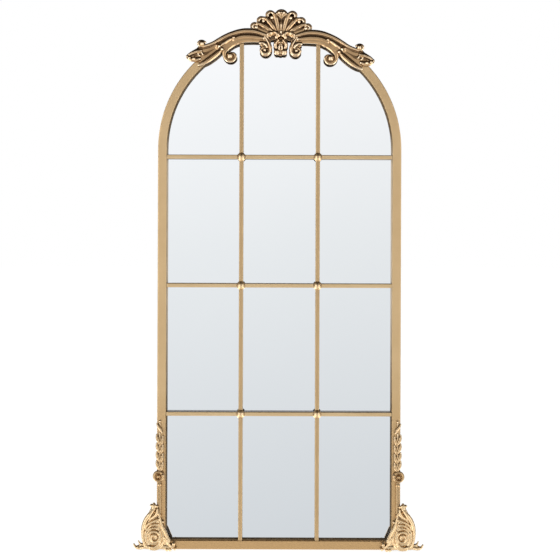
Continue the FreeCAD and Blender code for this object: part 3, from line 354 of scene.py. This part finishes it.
def mark_creases_and_shade(piece, patina, sunk, top_shade):
    """Store how dark each point is: patina and painted shade in creases and in ground whose lift is below
    sunk, and painted shade on upward faces.
    """
    mesh = piece.data
    places = mesh_rows(mesh.vertices, "co", 3)
    normals = mesh_rows(mesh.vertices, "normal", 3)
    first, second = mesh_rows(mesh.edges, "vertices", 2, np.int32).T
    way = places[second] - places[first]
    way /= np.linalg.norm(way, axis=1, keepdims=True) + SHORTEST_EDGE
    count = len(places)
    neighbours = np.bincount(first, minlength=count) + np.bincount(second, minlength=count)
    rise = np.bincount(first, (way * normals[first]).sum(1), count)
    rise -= np.bincount(second, (way * normals[second]).sum(1), count)
    hollow = rise / neighbours
    for _ in range(CREASE_SPREAD):
        around = np.bincount(first, hollow[second], count) + np.bincount(second, hollow[first], count)
        hollow = (hollow + around / neighbours) / 2
    lift = FRONT - places[:, Y] / MM
    ground = SUNK_SHADE * np.clip((sunk - lift) / SUNK_FADE, 0, 1)
    ground += top_shade * np.clip((normals[:, Z] - TOP_SLOPE) / TOP_FADE, 0, 1)
    mark = mesh.attributes.new("hollow", "FLOAT", "POINT")
    mark.data.foreach_set("value", (hollow * patina + ground).astype(np.float32))


def cast_piece(name, bars, balls, shift=(0, 0), voxel=VOXEL, patina=1.0, sunk=0, top_shade=0):
    """One casting of bars and balls, melted together, smoothed and flat at the back."""
    parts = []
    for points, lift, depth in bars:
        parts += bar_through(points, lift, depth)
    parts += [ball(*spot) for spot in balls]
    piece = joined(name, parts)
    flatten_back(piece, MELTED_BACK)
    apply_modifier(piece, "REMESH", mode="VOXEL", voxel_size=voxel * MM)
    apply_modifier(piece, "SMOOTH", factor=SMOOTH_SHARE, iterations=SMOOTH_ROUNDS)
    flatten_back(piece, 0)
    piece.data.transform(Matrix.Translation((shift[0] * MM, FRONT * MM, shift[1] * MM)))
    select_only(piece)
    bpy.ops.object.shade_smooth()
    mark_creases_and_shade(piece, patina, sunk, top_shade)
    return piece


def mirrored(spots):
    """Points or balls on the other side of the middle."""
    return [(-x, *rest) for x, *rest in spots]


def both_halves(bars, balls):
    """Right-hand bars and balls with their left-hand copies."""
    left_bars = [(mirrored(points), lift, depth) for points, lift, depth in bars]
    return bars + left_bars, balls + mirrored(balls)


def left_copy(piece, name):
    """The mirror image of a right-hand piece, with its own mesh."""
    copy = piece.copy()
    copy.data = piece.data.copy()
    copy.name = name
    copy.data.name = name
    bpy.context.scene.collection.objects.link(copy)
    copy.data.transform(Matrix.Scale(-1, 4, (1, 0, 0)))
    copy.data.flip_normals()
    return copy


def finish_casting(piece, node, finish):
    """Fix a casting to the frame in place of its plain solid."""
    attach(piece, "frame")
    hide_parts(node)
    piece.data.materials.clear()
    piece.data.materials.append(finish)


def cast_pair(name, node, finish, bars, balls, **settings):
    """A casting for the right side of the frame and its mirror image for the left."""
    right = cast_piece(f"{name}_right", bars, balls, **settings)
    finish_casting(left_copy(right, f"{name}_left"), f"{node}_left", finish)
    finish_casting(right, f"{node}_right", finish)


def fan_flutes():
    """Small flutes that spread forwards from the throat to the rim of the middle fan."""
    low = FAN_THROAT["height"]
    reach = FAN_MIDDLE["reach"]
    flutes = []
    for x, z, radius in FAN_ENDS:
        throat = (FAN_THROAT["spread"] * x, low, FAN_THROAT["radius"], FAN_THROAT["lift"])
        middle = (reach * x, low + reach * (z - low), FAN_MIDDLE["thickness"] * radius, FAN_MIDDLE["lift"])
        flutes.append(([throat, middle, (x, z, radius)], FAN_RIM_LIFT, 1))
    return flutes


def make_crown():
    """Shell, cartouche and swags, set in the crown's place on the arch."""
    bars, balls = both_halves(SHELL_RIGHT, SHELL_BALLS)
    shell = cast_piece("carved_shell", bars + SHELL_MIDDLE + fan_flutes(), balls, sunk=10, top_shade=TOP_SHADE)
    bars, balls = both_halves(CARTOUCHE_RIGHT, CARTOUCHE_BALLS)
    cartouche = cast_piece("carved_cartouche", bars + PENDANT_MIDDLE, balls, sunk=6, top_shade=TOP_SHADE)
    right_swag = cast_piece("carved_swag_right", SWAG_RIGHT, SWAG_BALLS, sunk=6, top_shade=TOP_SHADE)
    left_swag = left_copy(right_swag, "carved_swag_left")
    castings = [
        (shell, "crown_shell", SHELL_GOLD),
        (cartouche, "crown_cartouche", SHELL_GOLD),
        (right_swag, "crown_swag_right", SWAG_GOLD),
        (left_swag, "crown_swag_left", SWAG_GOLD),
    ]
    place = Matrix.Translation((CROWN_OFFSET * MM, 0, (RAIL_MIDDLE + CROWN_RISE) * MM))
    for piece, node, finish in castings:
        piece.data.transform(place @ Matrix.Rotation(CROWN_LEAN, 4, "Y"))
        finish_casting(piece, node, finish)


def foot_spiral():
    """The foot's big scroll, wound inwards to its eye."""
    eye_x, eye_z = FOOT_SPIRAL["eye"]
    turns = FOOT_SPIRAL["turns"]
    steps = round(FOOT_SPIRAL["steps_in_turn"] * turns)
    points = []
    for step in range(steps + 1):
        left = turns * (1 - step / steps)
        reach = FOOT_SPIRAL["inner"] + FOOT_SPIRAL["growth"] * left
        angle = math.radians(FOOT_SPIRAL["start"] + 360 * (turns - left))
        stroke = FOOT_SPIRAL["stroke"] + FOOT_SPIRAL["swell"] * left
        points.append((eye_x + reach * math.cos(angle), eye_z + reach * math.sin(angle), stroke))
    return points, FOOT_SPIRAL["lift"], 1


def make_feet():
    """Scroll feet on the bottom corners."""
    cast_pair(
        "carved_foot", "foot_scroll", PALE_GOLD, FOOT_RIGHT + [foot_spiral()], FOOT_BALLS,
        shift=(HALF_WIDTH, BOTTOM), voxel=FINE_VOXEL, patina=0.4, sunk=6,
    )


def make_leaf_drops():
    """Drops of leaf pairs on the stiles, whose outer leaves sit a little higher and further forward."""
    bars = list(GARLAND_STEM)
    for side in (-1, 1):
        for root in LEAF_ROOTS:
            foot = root + side * LEAF["higher"]
            leaf = [(side * x, foot + z, radius) for x, z, radius in LEAF_CURVE]
            bars.append((leaf, LEAF["lift"] + side * LEAF["forward"], LEAF["depth"]))
    cast_pair(
        "carved_leaves", "leaf_drop", GARLAND_GOLD, bars, GARLAND_BALLS,
        shift=(HALF_WIDTH - GARLAND_INSET, BOTTOM), voxel=FINE_VOXEL, patina=0.8,
    )


def half_ring(start):
    """Half of a rosette's ring, from that angle on."""
    arc = []
    for step in range(RING["steps"] + 1):
        angle = math.radians(start + 180 * step / RING["steps"])
        arc.append((RING["radius"] * math.cos(angle), RING["radius"] * math.sin(angle), RING["thickness"]))
    return arc, RING["lift"], 1


def make_rings():
    """Ring rosettes under the leaf drops, each with a bead in the middle and a knob on the ring."""
    cast_pair(
        "carved_ring", "ring_rosette", GARLAND_GOLD, [half_ring(0), half_ring(180), RING_GROUND], RING_BALLS,
        shift=(HALF_WIDTH - RING["inset"], BOTTOM + RING["height"]), voxel=FINE_VOXEL, patina=0.3,
    )


# Finishes

# Blotches and grains, by about how many fit in a metre
SATIN_BLOTCHES = 7.0
CAST_BLOTCHES = 30.0
GLASS_BLOTCHES = 3.0
STRIP_BLOTCHES = 40.0
GOLD_GRAIN = 900.0
STRIP_GRAIN = 800.0
PLAIN_GRAIN_RATIO = 20
BLOTCH_SPAN = (0.35, 0.65)

# Strength and depth of each grain's relief, and spans of roughness
SATIN_RELIEF = (0.06, 0.0001)
CAST_RELIEF = (0.05, 0.0001)
STRIP_RELIEF = (0.2, 0.0003)
PLAIN_RELIEF_DEPTH = 0.0005
SATIN_ROUGHNESS = (0.34, 0.4)
GLASS_ROUGHNESS = (0.0, 0.012)
STRIP_ROUGHNESS = (0.62, 0.78)
PLAIN_ROUGHNESS_SPREAD = 0.08
CREASE_ROUGHNESS = 0.2

# Levels between which a tone sets in: painted shade low on the frame and on its inner walls, and paler
# painted shade along the upper stiles
LOW_SHADE_LEVELS = (-0.8, -1.0)
REVEAL_SHADE_LEVELS = (-1.29, -1.27)
STILE_LOWER_LEVELS = (-0.9, -0.5)
STILE_UPPER_LEVELS = (0.06, -0.05)

# How far a surface faces the middle of the frame, or the wall, where a tone sets in: painted shade on the
# tubes' inner walls and the bars' sides, the strips' front edge and the castings' backs
INNER_WALL = (-0.05, -0.25)
BAR_SIDE = (-0.75, -0.2)
STRIP_FRONT = (-0.5, -0.9)
CASTING_BACK = (0.0, 0.35)

# Marks of the castings that show as a dark crease, of patina and painted shade, or as a worn edge with a
# painted highlight
CREASE_MARKS = (0.015, 0.09)
WEAR_AND_HIGHLIGHT_MARKS = (-0.02, -0.06)

# Tones that aren't given where a finish is made
# Painted shade on the tubes' inner walls: brown, and pale along the upper stiles
PAINTED_SHADE_BROWN = (0.085, 0.055, 0.022)
PAINTED_SHADE_PALE = (0.42, 0.31, 0.19)
CAST_BACK_TONE = (0.06, 0.041, 0.024)
SILVER_TONES = ((0.962, 0.968, 0.975), (0.97, 0.975, 0.98))
# Strip sides in painted shade, their front edge, and both paler along the upper stiles
STRIP_SHADE_TONES = ((0.05, 0.031, 0.013), (0.085, 0.055, 0.025))
STRIP_EDGE_TONE = (0.2, 0.13, 0.065)
UPPER_STRIP_SHADE = (0.4, 0.32, 0.23)
UPPER_STRIP_EDGE_TONE = (0.6, 0.5, 0.38)

# Places of a colour blend's factor, two colours and result among its sockets
MIX_FACTOR, MIX_FIRST, MIX_SECOND, MIX_RESULT = 0, 6, 7, 2


def feed(tree, socket, value):
    """Set a socket to a number or a colour, or link another node's output to it."""
    if isinstance(value, bpy.types.NodeSocket):
        tree.links.new(value, socket)
    else:
        socket.default_value = value


def add_node(tree, kind, inputs=None, **settings):
    """Add a shader node with its settings and inputs."""
    made = tree.nodes.new(kind)
    for name, value in settings.items():
        setattr(made, name, value)
    for name, value in (inputs or {}).items():
        feed(tree, made.inputs[name], value)
    return made


def blotch_group():
    """Soft blotches over a surface, as a value from 0 to 1."""
    tree = bpy.data.node_groups.new("soft_blotches", "ShaderNodeTree")
    tree.interface.new_socket("Size", in_out="INPUT", socket_type="NodeSocketFloat")
    tree.interface.new_socket("Blotch", in_out="OUTPUT", socket_type="NodeSocketFloat")
    given = add_node(tree, "NodeGroupInput")
    place = add_node(tree, "ShaderNodeTexCoord")
    noise = add_node(tree, "ShaderNodeTexNoise", {
        "Vector": place.outputs["Object"], "Scale": given.outputs["Size"], "Detail": 4.0, "Roughness": 0.55,
    })
    add_node(tree, "NodeGroupOutput", {"Blotch": ranged(tree, noise.outputs["Fac"], *BLOTCH_SPAN)})
    return tree


def blotches(tree, size):
    """The blotches of a material, in their own size."""
    return add_node(tree, "ShaderNodeGroup", {"Size": size}, node_tree=BLOTCHES).outputs["Blotch"]


def ranged(tree, value, low, high, to_low=0, to_high=1):
    """A value stretched from one span to another."""
    stretch = add_node(tree, "ShaderNodeMapRange", {
        "Value": value, "From Min": low, "From Max": high, "To Min": to_low, "To Max": to_high,
    })
    return stretch.outputs["Result"]


def product(tree, first, second):
    """Two values multiplied."""
    return add_node(tree, "ShaderNodeMath", {0: first, 1: second}, operation="MULTIPLY").outputs["Value"]


def mixed(tree, factor, first, second, blend="MIX"):
    """A blend of two colours."""
    mix = add_node(tree, "ShaderNodeMix", data_type="RGBA", blend_type=blend)
    feed(tree, mix.inputs[MIX_FACTOR], factor)
    for index, colour in ((MIX_FIRST, first), (MIX_SECOND, second)):
        feed(tree, mix.inputs[index], (*colour, 1) if isinstance(colour, tuple) else colour)
    return mix.outputs[MIX_RESULT]


def axis_of(tree, vector, axis):
    """One axis of a vector."""
    return add_node(tree, "ShaderNodeSeparateXYZ", {"Vector": vector}).outputs[axis]


def level_of(tree):
    """How high a place lies in the shared frame."""
    return axis_of(tree, add_node(tree, "ShaderNodeTexCoord").outputs["Object"], "Z")


def facing_wall(tree):
    """How far a surface faces the wall, from -1 to 1."""
    return axis_of(tree, add_node(tree, "ShaderNodeNewGeometry").outputs["Normal"], "Y")


def facing_inwards(tree):
    """How far a tube's wall faces the middle of the frame, from 0 to 1."""
    surface = add_node(tree, "ShaderNodeNewGeometry")
    place = add_node(tree, "ShaderNodeTexCoord")
    inputs = {0: surface.outputs["Normal"], 1: place.outputs["Object"]}
    reach = add_node(tree, "ShaderNodeVectorMath", inputs, operation="DOT_PRODUCT")
    return ranged(tree, reach.outputs["Value"], *INNER_WALL)


def upper_stiles(tree):
    """1 along the stiles between leaf drops and arch, and 0 below and above."""
    level = level_of(tree)
    return product(tree, ranged(tree, level, *STILE_LOWER_LEVELS), ranged(tree, level, *STILE_UPPER_LEVELS))


def new_material(name, **constants):
    """A material with its shader, which has those constants on its sockets."""
    material = bpy.data.materials.new(name)
    material.use_nodes = True
    shader = material.node_tree.nodes["Principled BSDF"]
    for socket, value in constants.items():
        shader.inputs[socket.replace("_", " ")].default_value = value
    return material, material.node_tree, shader


def coat(tree, shader, colour, roughness):
    """Give a shader its colour and roughness."""
    feed(tree, shader.inputs["Base Color"], colour)
    feed(tree, shader.inputs["Roughness"], roughness)


def roughen(tree, shader, relief, strength, depth):
    """Give a shader a relief of that depth."""
    bump = add_node(tree, "ShaderNodeBump", {"Height": relief, "Strength": strength, "Distance": depth})
    feed(tree, shader.inputs["Normal"], bump.outputs["Normal"])


def satin_coat(tree, shader, colour):
    """Give a tube or bar its colour and a fine satin grain."""
    grain = blotches(tree, GOLD_GRAIN)
    coat(tree, shader, colour, ranged(tree, grain, 0, 1, *SATIN_ROUGHNESS))
    roughen(tree, shader, grain, *SATIN_RELIEF)


def tube_gold(name, low, high, low_shade):
    """Satin gold of the frame, darkened by painted shade below the leaf drops, with brown painted shade on
    the inner walls that is paler along the upper stiles.
    """
    material, tree, shader = new_material(name, Metallic=1.0, Coat_Weight=0.5, Coat_Roughness=0.25)
    level = level_of(tree)
    body = mixed(tree, blotches(tree, SATIN_BLOTCHES), low, high)
    # painted shade: the gold turns to a darker tone low on the frame
    body = mixed(tree, ranged(tree, level, *LOW_SHADE_LEVELS), body, low_shade)
    # painted shade on the inner walls, brown, and pale along the upper stiles
    shade_tone = mixed(tree, upper_stiles(tree), PAINTED_SHADE_BROWN, PAINTED_SHADE_PALE)
    shade_share = product(tree, facing_inwards(tree), ranged(tree, level, *REVEAL_SHADE_LEVELS))
    satin_coat(tree, shader, mixed(tree, shade_share, body, shade_tone))
    return material


def bar_gold(name, low, high, shade_tone):
    """Satin gold of the glazing bars, with painted shade on their sides."""
    material, tree, shader = new_material(name, Metallic=1.0, Coat_Weight=0.5, Coat_Roughness=0.25)
    body = mixed(tree, blotches(tree, SATIN_BLOTCHES), low, high)
    satin_coat(tree, shader, mixed(tree, ranged(tree, facing_wall(tree), *BAR_SIDE), body, shade_tone))
    return material


def cast_gold(name, low, high, wear_and_highlight, crease_patina_and_shade, rough):
    """Burnished antique gold of the castings, bright on edges from wear and painted highlight, and dark in
    the creases from patina and painted shade.
    """
    material, tree, shader = new_material(name, Metallic=1.0, Coat_Weight=0.5, Coat_Roughness=0.15)
    mark = add_node(tree, "ShaderNodeAttribute", attribute_name="hollow").outputs["Fac"]
    crease = ranged(tree, mark, *CREASE_MARKS)
    body = mixed(tree, blotches(tree, CAST_BLOTCHES), low, high)
    body = mixed(tree, ranged(tree, mark, *WEAR_AND_HIGHLIGHT_MARKS), body, wear_and_highlight)
    body = mixed(tree, crease, body, crease_patina_and_shade)
    colour = mixed(tree, ranged(tree, facing_wall(tree), *CASTING_BACK), body, CAST_BACK_TONE)
    coat(tree, shader, colour, ranged(tree, crease, 0, 1, rough, rough + CREASE_ROUGHNESS))
    roughen(tree, shader, blotches(tree, GOLD_GRAIN), *CAST_RELIEF)
    return material


def mirror_silver():
    """Silvered glass."""
    material, tree, shader = new_material("mirror_silver", Metallic=1.0)
    broad = blotches(tree, GLASS_BLOTCHES)
    coat(tree, shader, mixed(tree, broad, *SILVER_TONES), ranged(tree, broad, 0, 1, *GLASS_ROUGHNESS))
    return material


def plain_finish(name, dark, light, size, rough, relief, **constants):
    """A blotchy finish of two tones with a fine rough surface."""
    material, tree, shader = new_material(name, **constants)
    grain = blotches(tree, PLAIN_GRAIN_RATIO * size)
    colour = mixed(tree, blotches(tree, size), dark, light)
    spread = PLAIN_ROUGHNESS_SPREAD
    coat(tree, shader, colour, ranged(tree, grain, 0, 1, rough - spread, rough + spread))
    roughen(tree, shader, grain, relief, PLAIN_RELIEF_DEPTH)
    return material


def strip_finish():
    """Glazing strips whose dark sides are painted shade, with a paler front edge, both painted paler along
    the upper stiles.
    """
    material, tree, shader = new_material("dark_strip", Specular_IOR_Level=0.15)
    grain = blotches(tree, STRIP_GRAIN)
    paler_share = upper_stiles(tree)
    side = mixed(tree, blotches(tree, STRIP_BLOTCHES), *STRIP_SHADE_TONES)
    side = mixed(tree, paler_share, side, UPPER_STRIP_SHADE)
    edge = mixed(tree, paler_share, STRIP_EDGE_TONE, UPPER_STRIP_EDGE_TONE)
    colour = mixed(tree, ranged(tree, facing_wall(tree), *STRIP_FRONT), side, edge)
    coat(tree, shader, colour, ranged(tree, grain, 0, 1, *STRIP_ROUGHNESS))
    roughen(tree, shader, grain, *STRIP_RELIEF)
    return material


BLOTCHES = blotch_group()
TUBE_GOLD = tube_gold(
    "satin_gold_tube", low=(0.69, 0.47, 0.24), high=(0.75, 0.52, 0.275), low_shade=(0.61, 0.38, 0.17),
)
# The upright bars' gold is darker than the cross bars'; the side tones of both are painted shade.
BAR_GOLD = bar_gold(
    "satin_gold_bar", low=(0.57, 0.38, 0.19), high=(0.63, 0.425, 0.215), shade_tone=(0.5, 0.4, 0.28),
)
CROSS_BAR_GOLD = bar_gold(
    "satin_gold_cross_bar", low=(0.70, 0.49, 0.26), high=(0.76, 0.545, 0.3), shade_tone=PAINTED_SHADE_BROWN,
)
# The shell's and swags' golds have darker bodies than the tube's gold: painted shade.
SHELL_GOLD = cast_gold(
    "antique_shell_gold", low=(0.40, 0.238, 0.112), high=(0.51, 0.32, 0.158), wear_and_highlight=(0.97, 0.77, 0.53),
    crease_patina_and_shade=(0.045, 0.02, 0.007), rough=0.2,
)
SWAG_GOLD = cast_gold(
    "antique_crown_gold", low=(0.425, 0.253, 0.118), high=(0.53, 0.33, 0.16), wear_and_highlight=(0.98, 0.79, 0.55),
    crease_patina_and_shade=(0.04, 0.019, 0.007), rough=0.2,
)
PALE_GOLD = cast_gold(
    "pale_cast_gold", low=(0.70, 0.5, 0.28), high=(0.76, 0.555, 0.32), wear_and_highlight=(0.94, 0.76, 0.52),
    crease_patina_and_shade=(0.40, 0.27, 0.14), rough=0.36,
)
# The garland's gold has a darker body than the tube's gold: painted shade.
GARLAND_GOLD = cast_gold(
    "garland_gold", low=(0.44, 0.285, 0.138), high=(0.51, 0.338, 0.168), wear_and_highlight=(0.85, 0.66, 0.43),
    crease_patina_and_shade=(0.16, 0.095, 0.04), rough=0.3,
)
FIBREBOARD = plain_finish(
    "fibreboard", dark=(0.23, 0.135, 0.07), light=(0.36, 0.225, 0.125), size=60.0, rough=0.75, relief=0.2,
)
RUBBER = plain_finish(
    "black_rubber", dark=(0.012, 0.012, 0.013), light=(0.03, 0.03, 0.031), size=90.0, rough=0.7, relief=0.2,
)
ZINC_STEEL = plain_finish(
    "zinc_steel", dark=(0.42, 0.43, 0.45), light=(0.62, 0.63, 0.64), size=120.0, rough=0.35, relief=0.1,
    Metallic=1.0,
)
FINISHES = {
    "gold_frame": TUBE_GOLD,
    "cast_gold": PALE_GOLD,
    "mirror": mirror_silver(),
    "fibreboard": FIBREBOARD,
    "dark_strip": strip_finish(),
    "rubber": RUBBER,
    "zinc_steel": ZINC_STEEL,
}


def dress_solids():
    """Give each solid its slot's finish, apart from the bars and the fluted rods, which have their own."""
    for subpart in frame["record"]["subparts"]:
        finish = FINISHES[subpart["material_slot"]]
        if subpart["node"].startswith("vertical_bar"):
            finish = BAR_GOLD
        elif "_bar_" in subpart["node"]:
            finish = CROSS_BAR_GOLD
        elif subpart["node"].startswith("fluted_rod"):
            finish = GARLAND_GOLD
        mesh = frame["nodes"][subpart["node"]].data
        mesh.materials.clear()
        mesh.materials.append(finish)


# Studio

# Tones of the room that metal and glass see, from straight down to straight up
ROOM_TONES = [
    (0.0, (1.0, 0.98, 0.93)), (0.2, (1.15, 1.12, 1.07)), (0.27, (1.0, 0.99, 0.97)),
    (0.335, (0.655, 0.69, 0.72)), (0.5, (0.83, 0.855, 0.87)), (0.6, (0.96, 0.97, 0.985)),
    (0.625, (0.97, 0.97, 0.97)), (0.67, (0.3, 0.285, 0.27)), (0.75, (0.1, 0.09, 0.08)),
    (1.0, (0.05, 0.045, 0.04)),
]
# Brightness of that room from left to right, with a bright panel on either side
ROOM_PANELS = [
    (0.0, 0.5), (0.1, 0.6), (0.14, 3.2), (0.26, 3.2), (0.3, 0.7), (0.36, 0.7), (0.4, 1.03),
    (0.6, 0.97), (0.64, 0.7), (0.7, 0.7), (0.74, 2.8), (0.86, 2.8), (0.9, 0.6), (1.0, 0.5),
]
WHITE = (1, 1, 1)
SOFT_LIGHT = (0.62, 0.62, 0.62)

FLOOR_SIZE = 60
FLOOR_TONE = (0.9, 0.9, 0.9, 1)
FLOOR_GLOW = 1.08
FLOOR_GLOW_SHARE = 0.86

# Softboxes: name, place, width and height, and power
SOFTBOXES = [
    ("left_softbox", (-2.4, -1.6, 0.1), (0.9, 2.2), 64),
    ("right_softbox", (2.4, -1.6, 0.0), (0.7, 2.0), 35),
    ("front_softbox", (0, -4.2, 1.6), (2.0, 1.0), 30),
]
SOFTBOX_AIM = (0, 0, -0.4)

CAMERA_PLACE = (0.004, -3.03, -0.297)
CAMERA_TURN = (math.radians(90), math.radians(-0.2), 0)
LENS_LENGTH = 58.38
SENSOR_WIDTH = 36
LENS_SHIFT = (-0.0011, -0.0733)


def ramp_over(tree, value, stops):
    """Colours from stops of (position, colour), over a value that runs from -1 to 1."""
    ramp = add_node(tree, "ShaderNodeValToRGB", {"Fac": ranged(tree, value, -1, 1)})
    points = ramp.color_ramp.elements
    while len(points) < len(stops):
        points.new(0.5)
    for point, (position, colour) in zip(points, stops):
        point.position = position
        point.color = (*colour, 1)
    return ramp.outputs["Color"]


def make_world():
    """White for the camera; metal and glass see a pale room with a dark ceiling."""
    world = bpy.data.worlds.new("studio")
    bpy.context.scene.world = world
    world.use_nodes = True
    tree = world.node_tree
    tree.nodes.clear()
    way = add_node(tree, "ShaderNodeTexCoord").outputs["Generated"]
    tones = ramp_over(tree, axis_of(tree, way, "Z"), ROOM_TONES)
    greys = [(position, (level, level, level)) for position, level in ROOM_PANELS]
    panels = ramp_over(tree, axis_of(tree, way, "X"), greys)
    room = mixed(tree, 1.0, tones, panels, "MULTIPLY")
    path = add_node(tree, "ShaderNodeLightPath")
    light = mixed(tree, path.outputs["Is Glossy Ray"], SOFT_LIGHT, room)
    seen = mixed(tree, path.outputs["Is Camera Ray"], light, WHITE)
    background = add_node(tree, "ShaderNodeBackground", {"Color": seen, "Strength": 1.0})
    add_node(tree, "ShaderNodeOutputWorld", {"Surface": background.outputs["Background"]})


def make_floor():
    """A pale floor that is white to the camera and keeps a soft shadow."""
    bpy.ops.mesh.primitive_plane_add(size=FLOOR_SIZE, location=(0, 0, cad_box[0].z))
    floor = bpy.context.object
    floor.name = "floor"
    floor.visible_glossy = False
    material = bpy.data.materials.new("pale_floor")
    material.use_nodes = True
    tree = material.node_tree
    tree.nodes.clear()
    matte = add_node(tree, "ShaderNodeBsdfDiffuse", {"Color": FLOOR_TONE})
    glow = add_node(tree, "ShaderNodeEmission", {"Color": (*WHITE, 1), "Strength": FLOOR_GLOW})
    path = add_node(tree, "ShaderNodeLightPath")
    share = product(tree, path.outputs["Is Camera Ray"], FLOOR_GLOW_SHARE)
    inputs = {0: share, 1: matte.outputs["BSDF"], 2: glow.outputs["Emission"]}
    surface = add_node(tree, "ShaderNodeMixShader", inputs)
    add_node(tree, "ShaderNodeOutputMaterial", {"Surface": surface.outputs["Shader"]})
    floor.data.materials.append(material)


def add_softbox(name, place, size, power):
    """A soft rectangular lamp that points at the middle of the mirror and shows in no reflection."""
    lamp = bpy.data.lights.new(name, "AREA")
    lamp.shape = "RECTANGLE"
    lamp.size, lamp.size_y = size
    lamp.energy = power
    holder = bpy.data.objects.new(name, lamp)
    bpy.context.scene.collection.objects.link(holder)
    holder.location = place
    holder.rotation_euler = (Vector(SOFTBOX_AIM) - Vector(place)).to_track_quat("-Z", "Y").to_euler()
    holder.visible_glossy = False


def make_camera():
    """The photograph's view, straight on to the mirror with a slight roll."""
    lens = bpy.data.cameras.new("camera")
    lens.lens = LENS_LENGTH
    lens.sensor_width = SENSOR_WIDTH
    lens.shift_x, lens.shift_y = LENS_SHIFT
    camera = bpy.data.objects.new("camera", lens)
    bpy.context.scene.collection.objects.link(camera)
    camera.location = CAMERA_PLACE
    camera.rotation_euler = CAMERA_TURN
    bpy.context.scene.camera = camera


dress_solids()
make_crown()
make_feet()
make_leaf_drops()
make_rings()
make_world()
make_floor()
for softbox in SOFTBOXES:
    add_softbox(*softbox)
make_camera()
bpy.context.scene.view_settings.view_transform = "Standard"
